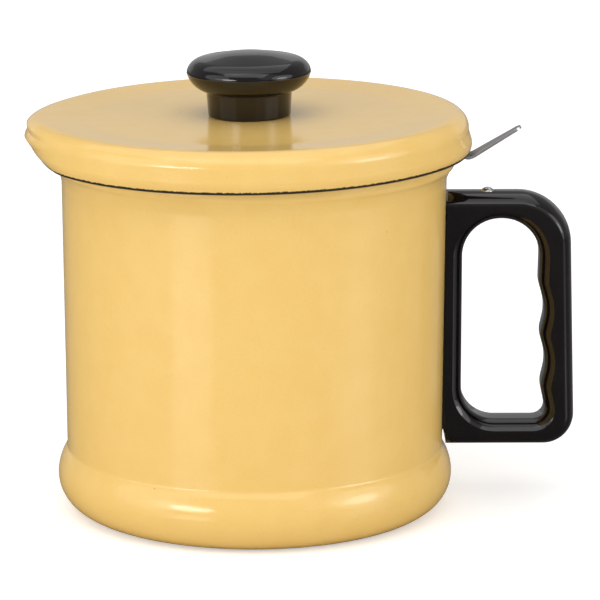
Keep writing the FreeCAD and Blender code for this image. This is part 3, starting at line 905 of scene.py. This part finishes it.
# %% Both layers of wires
first_y = (0.5 - HALF_COUNT) * PITCH
weave = join([
    applied(wavy_wire("strainer_weave", 1), (0, first_y, 0)),
    applied(wavy_wire("weave_second", -1), (0, first_y + PITCH, 0)),
])
with_modifier(weave, "ARRAY", count=HALF_COUNT, use_relative_offset=False, use_constant_offset=True,
              constant_offset_displace=(0, 2 * PITCH * MM, 0))
weave = join([weave, applied(copied(weave, "weave_across"), (0, 0, 0), (0, 0, math.radians(90)))])
print("weave faces", len(weave.data.polygons))

# %% Cutting the mesh to a disc and letting it sag
SAG = 2.0
FLAT_R, SAG_WIDTH = 60, 46
edit(weave)
pick(weave, "VERT", lambda vertex: vertex.co.xy.length > (MESH_R - 0.4) * MM)
bpy.ops.mesh.delete(type="VERT")
bpy.ops.mesh.select_all(action="SELECT")
bpy.ops.mesh.fill_holes(sides=4)
bpy.ops.mesh.select_all(action="SELECT")
bpy.ops.mesh.normals_make_consistent(inside=False)
bpy.ops.object.mode_set(mode="OBJECT")
for vertex in weave.data.vertices:
    share = min(max((FLAT_R - vertex.co.xy.length / MM) / SAG_WIDTH, 0), 1)
    sunk = SAG * share * share * (3 - 2 * share)
    vertex.co.z += (SHELF_Z + RING_SHEET + MESH_SPACE / 2 - sunk) * MM
smooth(weave, 60)
print("weave faces", len(weave.data.polygons))

# %% [markdown]
# ## Thumb tab
# A strip of the strainer's steel stands up inside the rim, goes over it and down outside, and turns
# out to a thumb rest that narrows to a round tip. It is a wire along the strip's path, extruded
# sideways, narrowed row by row at its end and thickened.

# %% Path of the tab
TAB_HALF = 4.5
TAB_FOOT = 4.5
TAB_BEND = 1.4
HOOK_BEND = 3.8
TAB_SLOPE = math.radians(31)
TAB_REACH = 25.8
tab_in = math.sqrt((RING_R - RING_SHEET) ** 2 - TAB_HALF ** 2)
tab_out = COLLAR_R + 1.2
tab_low = FLANGE_Z + RING_SHEET
tab_over = POT_TOP + TAB_GAP
tab_hook = POT_TOP - 16.4
tab_end = tab_out + TAB_REACH * math.cos(TAB_SLOPE)
tab_top = tab_hook + TAB_REACH * math.sin(TAB_SLOPE)
tab = drawn("thumb_tab", [
    (tab_in - TAB_FOOT, tab_low),
    (tab_in, tab_low, TAB_BEND),
    (tab_in, tab_over, TAB_BEND),
    (tab_out, tab_over, TAB_BEND),
    (tab_out, tab_hook, HOOK_BEND),
    (tab_end, tab_top),
], turn=8)
rows_between(tab, (tab_out, tab_hook), (tab_end, tab_top), 30)

# %% A strip one millimetre wide along that path
bpy.ops.mesh.select_all(action="SELECT")
bpy.ops.mesh.extrude_edges_move(TRANSFORM_OT_translate={"value": (0, MM, 0)})
pick(tab, "EDGE", lambda e: abs(e.verts[0].co.y - e.verts[1].co.y) > 0.5 * MM)
bpy.ops.mesh.subdivide(number_cuts=5)
bpy.ops.object.mode_set(mode="OBJECT")
print("strip faces", len(tab.data.polygons))

# %% Its real width, and the round tip
TIP_R = 2.2
TAPER = 19.0
TIP_ROWS = 4
NARROWEST = 0.15


def tab_half_width(x):
    """Half the strip's width at a distance from the pot's axis."""
    left = tab_end - x
    if left < TIP_R:
        return math.sqrt(max(TIP_R ** 2 - (TIP_R - left) ** 2, 0))
    return TIP_R + (TAB_HALF - TIP_R) * min((left - TIP_R) / (TAPER - TIP_R), 1)


for vertex in tab.data.vertices:
    x = vertex.co.x / MM
    if x > tab_end - TIP_ROWS:
        # The last rows are crowded towards the end, where the width changes fastest.
        crowded = ((x - tab_end + TIP_ROWS) / TIP_ROWS) ** 0.6
        x = tab_end - TIP_ROWS + TIP_ROWS * crowded
        vertex.co.x = x * MM
        vertex.co.z = (tab_top - (tab_end - x) * math.tan(TAB_SLOPE)) * MM
    vertex.co.y = (vertex.co.y / MM * 2 - 1) * max(tab_half_width(x), NARROWEST) * MM


# %% Closing and thickening the tab
def face_towards(piece, place, direction):
    """Turns the skin over if its face nearest a place looks away from the direction."""
    spot = Vector(place) * MM
    nearest = min(piece.data.polygons, key=lambda face: (face.center - spot).length)
    if nearest.normal.dot(Vector(direction)) < 0:
        flip(piece)


edit(tab)
close_skin(0.001)
face_towards(tab, (tab_in - 3, 0, tab_low), (0, 0, -1))
thicken(tab, TAB_THICK, even=False)
mark_edges(tab, soften_rims(tab, STEEL_SOFT, angle=60))
smooth(tab, 35)
print("tab box", box_of(tab), "frame tab", box_of(nodes["strainer_tab"]))

# %% [markdown]
# ## Handle
# The handle is a phenolic moulding with flat sides. Its outside is crowned like half an ellipse, and
# the edges of its opening are rounded over into a bullnose that stops at a crisp line on each side.
# Half of it is built as a stack of outlines: the outside one steps in as it rises to the side face,
# the opening's one steps out. Each outline is the first one moved sideways, so its bends stay round.
# The side face is filled between the two, and a mirror makes the other half.

# %% Handle sizes
HANDLE_TOP = POT_TOP - 25.6
HANDLE_LOW = CREASE_Z - 0.2
HANDLE_HALF = 9.0
CROWN = 4.1
BULLNOSE = 6.5
BULLNOSE_CUT = 0.8
GRIP = 10.8
GRIP_LEAN = math.tan(math.radians(1.6))
ARM = 9.4
WALL_BAR = 5.2
BACK_R = WALL_R + 0.4
INSIDE_POT = 55.0


def grip_line(z):
    """Outside of the grip at a height."""
    return WALL_R + 46.4 - (z - HANDLE_LOW) * GRIP_LEAN


# %% Outline of the outside
outside = [
    (INSIDE_POT, HANDLE_LOW),
    (grip_line(HANDLE_LOW), HANDLE_LOW, 11.0),
    (grip_line(HANDLE_TOP), HANDLE_TOP, 19.0),
    (INSIDE_POT, HANDLE_TOP),
]

# %% Outline of the opening, with a ridge between fingers
FINGERS = 3
FINGER_PITCH = 18.7
FIRST_RIDGE = 23.3
WAVE_HALF = 2.3 / 2
open_in = BACK_R + WALL_BAR
open_top = HANDLE_TOP - ARM
open_low = HANDLE_LOW + ARM
top_corner = grip_line(open_top) - GRIP
round_top = (top_corner - open_in) / 2.05
opening = [(open_in, open_low, 12.0), (open_in, open_top, round_top), (top_corner, open_top, round_top)]
for finger in range(FINGERS):
    ridge = open_top - FIRST_RIDGE - finger * FINGER_PITCH
    opening.append((grip_line(ridge) - GRIP - WAVE_HALF, ridge, 8.0))
    if finger < FINGERS - 1:
        hollow = ridge - FINGER_PITCH / 2
        opening.append((grip_line(hollow) - GRIP + WAVE_HALF, hollow, 15.0))
opening.append((grip_line(open_low) - GRIP + WAVE_HALF, open_low, 4.5))
print("the opening has", len(opening), "corners")


# %% Moving an outline sideways
def moved_outline(corners, distance):
    """A closed outline moved sideways, to the left of its way round when positive."""
    count = len(corners)
    result = []
    for index, corner in enumerate(corners):
        here = Vector(corner[:2])
        came = (here - Vector(corners[index - 1][:2])).normalized()
        goes = (Vector(corners[(index + 1) % count][:2]) - here).normalized()
        side = Vector((-came.y, came.x)) + Vector((-goes.y, goes.x))
        place = here + side * (distance / (1 + came.dot(goes)))
        radius = rounding(corner)
        turns_left = came.x * goes.y - came.y * goes.x > 0
        if radius:
            radius += -distance if turns_left else distance
        result.append((place.x, place.y, radius))
    return result


# %% Stacking outlines
def level_edge(heights):
    """Test for an edge that lies level in Y at one of some heights."""
    def test(edge):
        first, second = (vertex.co.y for vertex in edge.verts)
        return abs(first - second) < 1e-6 and all(
            min(abs(y - height * MM) for height in heights) < 1e-6 for y in (first, second))
    return test


def stack(name, rings):
    """Bridges closed outlines, given as (corners, y), one to the next."""
    piece = None
    for index, (corners, y) in enumerate(rings):
        ring_piece = drawn(f"{name}_ring", corners, closed=True, y=y, turn=5)
        bpy.ops.object.mode_set(mode="OBJECT")
        if piece is None:
            piece = ring_piece
            continue
        piece = join([piece, ring_piece])
        edit(piece)
        pick(piece, "EDGE", level_edge((rings[index - 1][1], y)))
        bpy.ops.mesh.bridge_edge_loops()
        bpy.ops.object.mode_set(mode="OBJECT")
    piece.name = name
    print(name, "has", len(piece.data.vertices), "vertices")
    return piece


# %% Crown of the outside
CROWN_STEPS = 12
crown_rings = []
for step in range(CROWN_STEPS + 1):
    lean = math.radians(90) * step / CROWN_STEPS
    corners = moved_outline(outside, CROWN * (1 - math.cos(lean)))
    crown_rings.append((corners, HANDLE_HALF * math.sin(lean)))
crown_part = stack("handle_crown", crown_rings)

# %% Bullnose of the opening
NOSE_STEPS = 9
flat_half = HANDLE_HALF + BULLNOSE_CUT - BULLNOSE
last_lean = math.asin((HANDLE_HALF - flat_half) / BULLNOSE)
nose_rings = [(opening, 0.0)]
for step in range(NOSE_STEPS + 1):
    lean = last_lean * step / NOSE_STEPS
    corners = moved_outline(opening, BULLNOSE * (1 - math.cos(lean)))
    nose_rings.append((corners, flat_half + BULLNOSE * math.sin(lean)))
nose_part = stack("handle_nose", nose_rings)


# %% Side face and mirror
def open_side_edge(edge):
    """Test for an edge of the hole that the side face will fill."""
    return len(edge.link_faces) == 1 and all(v.co.y > (HANDLE_HALF - 0.01) * MM for v in edge.verts)


handle = join([crown_part, nose_part])
handle.name = "handle_moulding"
edit(handle)
print("side face between", pick(handle, "EDGE", open_side_edge), "edges")
bpy.ops.mesh.fill(use_beauty=True)
close_skin()
with_modifier(handle, "MIRROR", use_axis=(False, True, False), use_clip=True, merge_threshold=0.01 * MM)
edit(handle)
close_skin()

# %% [markdown]
# ## What is cut out of the handle
# The back is hollowed to the wall's curve, with a channel for the strap and slots for its two bent
# ends. The screws go through the arms, each in a round seat. These are plain cuts with hidden edges,
# so booleans with simple solids do them cleanly.


# %% Cutting tools
def block(low_corner, high_corner):
    """A box between two corners."""
    leave_edit_mode()
    middle = (Vector(low_corner) + Vector(high_corner)) / 2
    bpy.ops.mesh.primitive_cube_add(size=MM, location=middle * MM)
    piece = bpy.context.object
    piece.scale = Vector(high_corner) - Vector(low_corner)
    bpy.ops.object.transform_apply(location=True, rotation=True, scale=True)
    return piece


def post(radius, low_z, high_z, x=0.0, sides=48):
    """An upright round bar."""
    leave_edit_mode()
    bpy.ops.mesh.primitive_cylinder_add(
        vertices=sides, radius=radius * MM, depth=(high_z - low_z) * MM,
        location=(x * MM, 0, (low_z + high_z) / 2 * MM))
    piece = bpy.context.object
    bpy.ops.object.transform_apply(location=True, rotation=True, scale=True)
    return piece


# %% Back, strap channel and slots
STRAP = 1.5
STRAP_CLEAR = 0.15
CHANNEL_HALF = 7.15
TONGUE_HIGH = HANDLE_TOP - 4.6
TONGUE_LOW = HANDLE_LOW + 3.6
SLOT_HALF = 5.15
SLOT_HEIGHT = 3.85
SLOT_START, SLOT_END = 60, WALL_R + 20.65
cut(handle, post(BACK_R, HANDLE_LOW - 5, HANDLE_TOP + 5, sides=360))
channel = post(WALL_R + STRAP + STRAP_CLEAR, TONGUE_LOW, TONGUE_HIGH, sides=180)
handle_side = block((0, -CHANNEL_HALF, TONGUE_LOW - 1), (90, CHANNEL_HALF, TONGUE_HIGH + 1))
cut(channel, handle_side, "INTERSECT")
cut(handle, channel)
for slot_low in (TONGUE_HIGH - SLOT_HEIGHT, TONGUE_LOW):
    cut(handle, block((SLOT_START, -SLOT_HALF, slot_low), (SLOT_END, SLOT_HALF, slot_low + SLOT_HEIGHT)))
print("handle faces", len(handle.data.polygons))

# %% Screw holes and seats
SCREW_X = WALL_R + 14.5
SHANK_HOLE = 1.65
HEAD_HOLE = 2.55
UPPER_SEAT = HANDLE_TOP - 0.7
LOWER_SEAT = HANDLE_LOW + 2.1
cut(handle, post(SHANK_HOLE, TONGUE_HIGH - 1, HANDLE_TOP + 1, SCREW_X))
cut(handle, post(SHANK_HOLE, HANDLE_LOW - 1, TONGUE_LOW + 1, SCREW_X))
cut(handle, post(HEAD_HOLE, UPPER_SEAT, HANDLE_TOP + 2, SCREW_X))
cut(handle, post(HEAD_HOLE, HANDLE_LOW - 2, LOWER_SEAT, SCREW_X))
smooth(handle, 21)
print("handle faces", len(handle.data.polygons), "box", box_of(handle))

# %% Handle screws
HANDLE_SCREW = dict(radius=1.5, head_r=2.4, head=1.9, dome=3.0, pitch=0.5)
screw_up = screw("handle_screw_top", length=7.6, **HANDLE_SCREW)
applied(screw_up, (SCREW_X, 0, UPPER_SEAT))
screw_down = screw("handle_screw_bottom", length=5.2, **HANDLE_SCREW)
applied(screw_down, (SCREW_X, 0, LOWER_SEAT), UPSIDE_DOWN)
for piece in (screw_up, screw_down):
    smooth(piece, 30)
    print(piece.name, box_of(piece))

# %% [markdown]
# ## Effects that several finishes share
# Each effect is a node group: it is built once, with named inputs, and placed in every material that
# needs it with that material's own values. A group puts out only masks, heights and colours. The
# shader itself stays in the material. All patterns are solid ones, read at the piece's own
# coordinates in millimetres, so they pass through edges without a seam and need no unwrapping.


# %% Making and placing a group
def new_group(name, outputs, **inputs):
    """A group that reads a place and the named inputs; returns it with its input and output sockets.

    An input is given by its kind of socket, or by a number to start from. An output by its kind.
    """
    group = bpy.data.node_groups.new(name, "ShaderNodeTree")
    for label, given_as in {"Place": "Vector", **inputs}.items():
        kind = given_as if isinstance(given_as, str) else "Float"
        socket = group.interface.new_socket(name=label, in_out="INPUT", socket_type=f"NodeSocket{kind}")
        if kind == "Float":
            socket.default_value = given_as
    for label, kind in outputs.items():
        group.interface.new_socket(name=label, in_out="OUTPUT", socket_type=f"NodeSocket{kind}")
    return group, put(group, "NodeGroupInput").outputs, put(group, "NodeGroupOutput").inputs


def place_group(tree, group, place, **values):
    """Places a group in a material with its own values; returns its outputs."""
    return put(tree, "ShaderNodeGroup", {"Place": place, **values}, node_tree=group).outputs


# %% Noise, and a stretched place to read it at
def scaled(tree, vector, factors):
    """A vector times three factors."""
    return put(tree, "ShaderNodeVectorMath", {0: vector, 1: factors}, operation="MULTIPLY").outputs[0]


def noise(tree, place, size, detail, roughness=0.5):
    """Soft clouds whose size is in the units of the place."""
    scale = sums(tree, "DIVIDE", 1.0, size)
    fed = {"Vector": place, "Scale": scale, "Detail": detail, "Roughness": roughness}
    return put(tree, "ShaderNodeTexNoise", fed).outputs[0]


# %% [markdown]
# ### Specks
# Pinholes and dark grains in enamel, pale filler in a moulding and spangle on zinc are all small
# dots. Cells of a Voronoi pattern give one dot each, and only a share of the cells keeps its dot.

# %% Specks
specks, given, made = new_group("specks", {"Mask": "Float"}, Spacing=2.0, Size=0.2, Share=0.5)
cell_scale = sums(specks, "DIVIDE", 1.0, given["Spacing"])
cells = put(specks, "ShaderNodeTexVoronoi", {"Vector": given["Place"], "Scale": cell_scale}, feature="F1")
distance = sums(specks, "MULTIPLY", cells.outputs["Distance"], given["Spacing"])
inner = sums(specks, "MULTIPLY", given["Size"], 0.55)
dot = ramp(specks, distance, inner, given["Size"], 1.0, 0.0)
luck = put(specks, "ShaderNodeSeparateColor", {0: cells.outputs["Color"]})
kept = sums(specks, "LESS_THAN", luck.outputs[0], given["Share"])
feed(specks, made["Mask"], sums(specks, "MULTIPLY", dot, kept))

# %% [markdown]
# ### Drifting tone
# No surface has exactly one colour. A soft noise drifts between a main and a second colour, with a
# finer grain on top of it.

# %% Drifting tone
drift, given, made = new_group("drifting_tone", {"Colour": "Color", "Mask": "Float"},
                               Size=20.0, Grain=0.5, Main="Color", Second="Color")
soft = ramp(drift, noise(drift, given["Place"], given["Size"], 2), 0.3, 0.7, 0.0, 0.6)
fine = ramp(drift, noise(drift, given["Place"], given["Grain"], 1), 0.3, 0.7, 0.0, 0.4)
share = sums(drift, "ADD", soft, fine, clamp=True)
feed(drift, made["Colour"], blend(drift, share, given["Main"], given["Second"]))
feed(drift, made["Mask"], share)

# %% [markdown]
# ### Rippled skin
# Fired glass and moulded resin are smooth but not flat: the skin has shallow ripples a few
# millimetres across, which make reflections waver.

# %% Rippled skin
ripples, given, made = new_group("rippled_skin", {"Height": "Float"}, Size=2.5)
feed(ripples, made["Height"], noise(ripples, given["Place"], given["Size"], 1.5, 0.35))

# %% [markdown]
# ### Hair scratches
# Wiping and stacking leave hair-fine lines that cross. Noise stretched along one direction and cut
# off at its peaks gives short lines, and two sets of them at an angle cross each other.

# %% Hair scratches
LENGTH_TO_WIDTH = 60.0
hairs, given, made = new_group("hair_scratches", {"Mask": "Float"}, Width=0.12, Share=0.3)
thin = sums(hairs, "DIVIDE", 1.0, given["Width"])
lengthwise = sums(hairs, "DIVIDE", thin, LENGTH_TO_WIDTH)
factors = put(hairs, "ShaderNodeCombineXYZ", {0: lengthwise, 1: thin, 2: thin}).outputs[0]
cutoff = sums(hairs, "SUBTRACT", 0.80, sums(hairs, "MULTIPLY", given["Share"], 0.2))
sets = []
for angle in (0.5, 2.2):
    turned = put(hairs, "ShaderNodeVectorRotate",
                 {"Vector": given["Place"], "Axis": (0.45, 0.6, 0.66), "Angle": angle},
                 rotation_type="AXIS_ANGLE").outputs[0]
    lines = noise(hairs, scaled(hairs, turned, factors), 1.0, 0)
    sets.append(ramp(hairs, lines, cutoff, 0.85))
feed(hairs, made["Mask"], sums(hairs, "MAXIMUM", *sets))

# %% [markdown]
# ### Turned and drawn grain
# A tool or a polishing belt leaves parallel lines. On a turned piece they run round its axis, so the
# noise is read at (radius, height). On a strip or a wire they run along it, so the noise is
# stretched that way.

# %% Turned grain
turned_grain, given, made = new_group("turned_grain", {"Height": "Float"}, Spacing=0.25)
x, y, z = put(turned_grain, "ShaderNodeSeparateXYZ", {0: given["Place"]}).outputs
squares = [sums(turned_grain, "MULTIPLY", side, side) for side in (x, y)]
radius = sums(turned_grain, "SQRT", sums(turned_grain, "ADD", *squares))
ring_place = put(turned_grain, "ShaderNodeCombineXYZ", {0: radius, 1: z}).outputs[0]
feed(turned_grain, made["Height"], noise(turned_grain, ring_place, given["Spacing"], 2))

# %% Drawn grain
drawn_grain, given, made = new_group("drawn_grain", {"Height": "Float"}, Stretch="Vector")
stretched = scaled(drawn_grain, given["Place"], given["Stretch"])
feed(drawn_grain, made["Height"], noise(drawn_grain, stretched, 1.0, 3))

# %% [markdown]
# ### Band along an edge
# Enamel pulls back from a sheet's edge and leaves the dark ground coat bare there. The dark band is
# made wider than the bare coat, so it also paints the shade in the gap under the lid's edge. On metal
# the band is a painted highlight, lighter along the edge. Both are a band along the edge with a ragged
# limit. The distance to the edge is an attribute that was measured when the piece was made.

# %% Band along an edge
BAND_SOFT = 0.12
edge_band, given, made = new_group("edge_band", {"Mask": "Float"}, Width=0.8, Ragged=0.4, Size=1.0)
measured = put(edge_band, "ShaderNodeAttribute", attribute_name="edge_mm").outputs["Fac"]
tatters = sums(edge_band, "SUBTRACT", noise(edge_band, given["Place"], given["Size"], 3), 0.5)
limit = sums(edge_band, "ADD", given["Width"], sums(edge_band, "MULTIPLY", tatters, given["Ragged"]))
start = sums(edge_band, "SUBTRACT", limit, BAND_SOFT)
feed(edge_band, made["Mask"], ramp(edge_band, measured, start, limit, 1.0, 0.0))
print("shared groups:", [group.name for group in bpy.data.node_groups])

# %% [markdown]
# ## Building a finish
# Every finish starts from one Principled shader and its place in millimetres. What differs is laid
# over that by a few helpers: dots of another colour, scratches that dull the gloss, and bumps.


# %% Helpers for finishes
def finish_base(name, **settings):
    """A material with its shader, its place in millimetres and plain shader values."""
    material, tree, surface = new_material(name)
    shader = put(tree, "ShaderNodeBsdfPrincipled", settings)
    feed(tree, surface, shader.outputs[0])
    where = put(tree, "ShaderNodeTexCoord").outputs["Object"]
    return material, tree, shader, scaled(tree, where, (1 / MM, 1 / MM, 1 / MM))


def dotted(tree, place, under, colour, strength, **values):
    """Lays specks of a colour over what is under them; returns the colour and the specks' mask."""
    dots = place_group(tree, specks, place, **values)["Mask"]
    return blend(tree, sums(tree, "MULTIPLY", dots, strength), under, colour), dots


def scratched(tree, place, gloss, dulling, **values):
    """A roughness that is higher along hair scratches."""
    marks = place_group(tree, hairs, place, **values)["Mask"]
    return sums(tree, "ADD", gloss, sums(tree, "MULTIPLY", marks, dulling))


def coloured(tree, shader, colour, roughness):
    """Feeds the shader's colour and roughness."""
    feed(tree, shader.inputs["Base Color"], colour)
    feed(tree, shader.inputs["Roughness"], roughness)


def bumped(tree, shader, height, depth, previous=None):
    """Feeds the shader's normal with a bump of a depth in millimetres; returns the bump's normal."""
    bump = put(tree, "ShaderNodeBump", {"Distance": depth * MM, "Height": height})
    if previous is not None:
        feed(tree, bump.inputs["Normal"], previous)
    feed(tree, shader.inputs["Normal"], bump.outputs[0])
    return bump.outputs[0]


def dress(material, *pieces):
    """Gives pieces one finish."""
    for piece in pieces:
        piece.data.materials.clear()
        piece.data.materials.append(material)
    print(material.name, "on", [piece.name for piece in pieces])


# %% [markdown]
# ## Enamel
# Vitreous enamel is glass fired on to steel: deep gloss, a slightly cloudy buttery yellow with very
# fine darker grains, and shallow ripples. Along the cut edges of the sheet it pulls back and shows
# the near-black ground coat, duller than the colour. That dark band is drawn wider than the bare coat,
# so it also paints the shade in the gap under the lid's edge. A clear coat over paint would look
# wetter and flatter, so the gloss here is the enamel's own.

# %% Enamel
enamel, tree, shader, place = finish_base("butter_enamel", IOR=1.52)
tone = place_group(tree, drift, place, Size=9.0, Grain=0.7,
                   Main=(0.885, 0.592, 0.190), Second=(0.865, 0.562, 0.170))
colour, _ = dotted(tree, place, tone["Colour"], (0.56, 0.30, 0.06), 0.22, Spacing=1.3, Size=0.24, Share=0.30)
colour, pinholes = dotted(tree, place, colour, (0.16, 0.09, 0.03), 0.5, Spacing=9.0, Size=0.30, Share=0.16)
# Dark band along the cut edges: bare ground coat, widened so that it also paints the shade of the gap under
# the lid's edge.
bare_coat_and_painted_shade = place_group(tree, edge_band, place, Width=1.45, Ragged=1.3, Size=0.9)["Mask"]
colour = blend(tree, bare_coat_and_painted_shade, colour, (0.030, 0.022, 0.014))
gloss = scratched(tree, place, 0.13, 0.10, Width=0.10, Share=0.25)
coloured(tree, shader, colour, sums(tree, "ADD", gloss, sums(tree, "MULTIPLY", bare_coat_and_painted_shade, 0.32)))

# %% Its ripples, and the steps down to bare edges and pinholes
skin = place_group(tree, ripples, place, Size=2.6)["Height"]
rippled = bumped(tree, shader, skin, 0.010)
missing = sums(tree, "ADD", bare_coat_and_painted_shade, pinholes, clamp=True)
bumped(tree, shader, sums(tree, "SUBTRACT", 1.0, missing), 0.05, rippled)
dress(enamel, pot, lid)

# %% [markdown]
# ## Black phenolic
# The knob and the handle are compression-moulded phenolic resin: almost black, glossy, with faint
# pale filler grains and fine wiping scratches. The two halves of the mould leave a hair-fine ridge
# down the middle of the handle's rim. It is too fine for the mesh, so it is a bump.


# %% Phenolic
def phenolic(name, seam=False):
    """Black moulded resin; with seam, a fine ridge runs where the piece's own Y is zero."""
    material, tree, shader, place = finish_base(name, IOR=1.52)
    tone = place_group(tree, drift, place, Size=14.0, Grain=0.6,
                       Main=(0.0036, 0.0026, 0.0028), Second=(0.0066, 0.0048, 0.0048))
    colour, _ = dotted(tree, place, tone["Colour"], (0.060, 0.048, 0.040), 0.35,
                       Spacing=1.6, Size=0.16, Share=0.35)
    coloured(tree, shader, colour, scratched(tree, place, 0.075, 0.16, Width=0.09, Share=0.55))
    normal = bumped(tree, shader, place_group(tree, ripples, place, Size=3.4)["Height"], 0.012)
    if seam:
        parts = put(tree, "ShaderNodeSeparateXYZ", {0: place})
        off = sums(tree, "ABSOLUTE", parts.outputs[1])
        bumped(tree, shader, ramp(tree, off, 0.05, 0.16, 1.0, 0.0), 0.05, normal)
    return material


dress(phenolic("knob_phenolic"), knob)
dress(phenolic("handle_phenolic", seam=True), handle)

# %% [markdown]
# ## Stainless steel
# The strainer's ring is spun, so its polishing lines run round it. The tab is cut from strip, so its
# lines run along it. Along the softened edges of both, a pale band is a painted highlight. The woven
# wire is drawn, duller, and a little stained by oil where wires cross.


# %% Stainless
def steel(name, main, second, roughness, depth, grain, stain=0.0, **grain_values):
    """Steel with a tone drift, the lines of a grain group, a painted highlight along its edges and hair
    scratches.
    """
    material, tree, shader, place = finish_base(name, Metallic=1.0)
    tone = place_group(tree, drift, place, Size=12.0, Grain=0.4, Main=main, Second=second)
    lines = place_group(tree, grain, place, **grain_values)["Height"]
    dark = tuple(c * 0.72 for c in second)
    colour = blend(tree, ramp(tree, lines, 0.35, 0.7, 0.0, 0.35), tone["Colour"], dark)
    # Painted highlight: a pale band along the softened edges stands in for the glint on them.
    painted_edge_highlight = place_group(tree, edge_band, place, Width=0.3, Ragged=0.25, Size=1.2)["Mask"]
    colour = blend(tree, sums(tree, "MULTIPLY", painted_edge_highlight, 0.7), colour, (0.80, 0.79, 0.78))
    if stain:
        colour, _ = dotted(tree, place, colour, (0.30, 0.22, 0.12), stain, Spacing=2.4, Size=0.9, Share=0.4)
    gloss = ramp(tree, lines, 0.3, 0.7, roughness - 0.05, roughness + 0.07)
    coloured(tree, shader, colour, scratched(tree, place, gloss, 0.14, Width=0.08, Share=0.5))
    bumped(tree, shader, lines, depth)
    return material


for piece in (clamp, weave, knob_screw, screw_up, screw_down):
    mark_edges(piece)
dress(steel("spun_stainless", (0.60, 0.59, 0.58), (0.52, 0.51, 0.50), 0.24, 0.006,
            turned_grain, Spacing=0.30), ring, clamp)
dress(steel("strip_stainless", (0.36, 0.34, 0.36), (0.30, 0.285, 0.30), 0.34, 0.006,
            drawn_grain, Stretch=(0.05, 5.0, 0.6)), tab)
dress(steel("wire_stainless", (0.52, 0.51, 0.50), (0.40, 0.39, 0.38), 0.34, 0.008,
            drawn_grain, stain=0.25, Stretch=(0.8, 0.8, 3.0)), weave)
dress(steel("plated_steel", (0.72, 0.71, 0.70), (0.64, 0.63, 0.62), 0.20, 0.004,
            turned_grain, Spacing=0.20), knob_screw, screw_up, screw_down)

# %% [markdown]
# ## Nuts, washers, strap and bush
# The nuts, the spring washer, the strap and the bush keep the frame's own shape. Zinc plate is bluish
# grey with a faint spangle and warm passivated patches. The strap is steel under a satin black paint.
# The bush is turned brass. The fibre washer is dyed paper board, matt, with pale and dark fibres.

# %% Zinc plate
zinc, tree, shader, place = finish_base("zinc_plate", Metallic=1.0)
tone = place_group(tree, drift, place, Size=4.0, Grain=0.3,
                   Main=(0.56, 0.58, 0.60), Second=(0.50, 0.47, 0.40))
colour, spangle = dotted(tree, place, tone["Colour"], (0.68, 0.69, 0.70), 0.4,
                         Spacing=0.7, Size=0.35, Share=0.4)
gloss = scratched(tree, place, 0.27, 0.15, Width=0.08, Share=0.6)
coloured(tree, shader, colour, sums(tree, "ADD", gloss, sums(tree, "MULTIPLY", tone["Mask"], 0.12)))
bumped(tree, shader, spangle, 0.006)
dress(zinc, nodes["handle_nut_upper"], nodes["handle_nut_lower"], nodes["spring_washer"], steel_washer)

# %% Black strap paint
paint, tree, shader, place = finish_base("strap_paint", IOR=1.5)
tone = place_group(tree, drift, place, Size=6.0, Grain=0.5,
                   Main=(0.014, 0.012, 0.011), Second=(0.024, 0.020, 0.018))
colour, _ = dotted(tree, place, tone["Colour"], (0.10, 0.09, 0.08), 0.4, Spacing=1.4, Size=0.16, Share=0.4)
coloured(tree, shader, colour, scratched(tree, place, 0.34, 0.2, Width=0.10, Share=0.6))
bumped(tree, shader, place_group(tree, ripples, place, Size=0.8)["Height"], 0.014)
dress(paint, nodes["handle_bracket"])

# %% Turned brass
brass, tree, shader, place = finish_base("turned_brass", Metallic=1.0)
tone = place_group(tree, drift, place, Size=3.0, Grain=0.3,
                   Main=(0.68, 0.47, 0.19), Second=(0.50, 0.31, 0.12))
lines = place_group(tree, turned_grain, place, Spacing=0.18)["Height"]
colour = blend(tree, ramp(tree, lines, 0.4, 0.7, 0.0, 0.4), tone["Colour"], (0.36, 0.22, 0.08))
coloured(tree, shader, colour, ramp(tree, lines, 0.3, 0.7, 0.22, 0.36))
bumped(tree, shader, lines, 0.008)
dress(brass, nodes["knob_insert"])

# %% Red fibre
fibre, tree, shader, place = finish_base("red_fibre", IOR=1.45)
tone = place_group(tree, drift, place, Size=1.6, Grain=0.25,
                   Main=(0.30, 0.055, 0.030), Second=(0.20, 0.035, 0.022))
pale = place_group(tree, hairs, place, Width=0.16, Share=0.9)["Mask"]
colour = blend(tree, sums(tree, "MULTIPLY", pale, 0.5), tone["Colour"], (0.48, 0.16, 0.09))
colour, _ = dotted(tree, place, colour, (0.08, 0.02, 0.015), 0.6, Spacing=0.6, Size=0.2, Share=0.4)
coloured(tree, shader, colour, ramp(tree, tone["Mask"], 0.0, 1.0, 0.62, 0.80))
bumped(tree, shader, sums(tree, "ADD", tone["Mask"], pale), 0.03)
dress(fibre, red_washer)

# %% [markdown]
# ## Which body each piece rides on
# A piece moves with the body of the frame node that it stands for. The frame keeps the node for
# contact, and only the finer piece is shown.

# %% Riding and replacing
for piece, node, body, slot in (
    (pot, "pot_shell", "pot", "enamel"),
    (lid, "lid_shell", "lid", "enamel"),
    (knob, "knob", "lid", "phenolic"),
    (handle, "handle", "pot", "phenolic"),
    (knob_screw, "knob_screw", "lid", "bright_steel"),
    (red_washer, "fibre_washer", "lid", "fibre"),
    (steel_washer, "flat_washer", "lid", "zinc_steel"),
    (ring, "strainer_ring", "strainer", "stainless"),
    (clamp, "mesh_ring", "strainer", "stainless"),
    (weave, "strainer_mesh", "strainer", "stainless_mesh"),
    (tab, "strainer_tab", "strainer", "stainless"),
    (screw_up, "handle_screw_upper", "pot", "bright_steel"),
    (screw_down, "handle_screw_lower", "pot", "bright_steel"),
):
    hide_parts(node)
    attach(piece, body)
    print(piece.name, "stands for", node, "on", body)
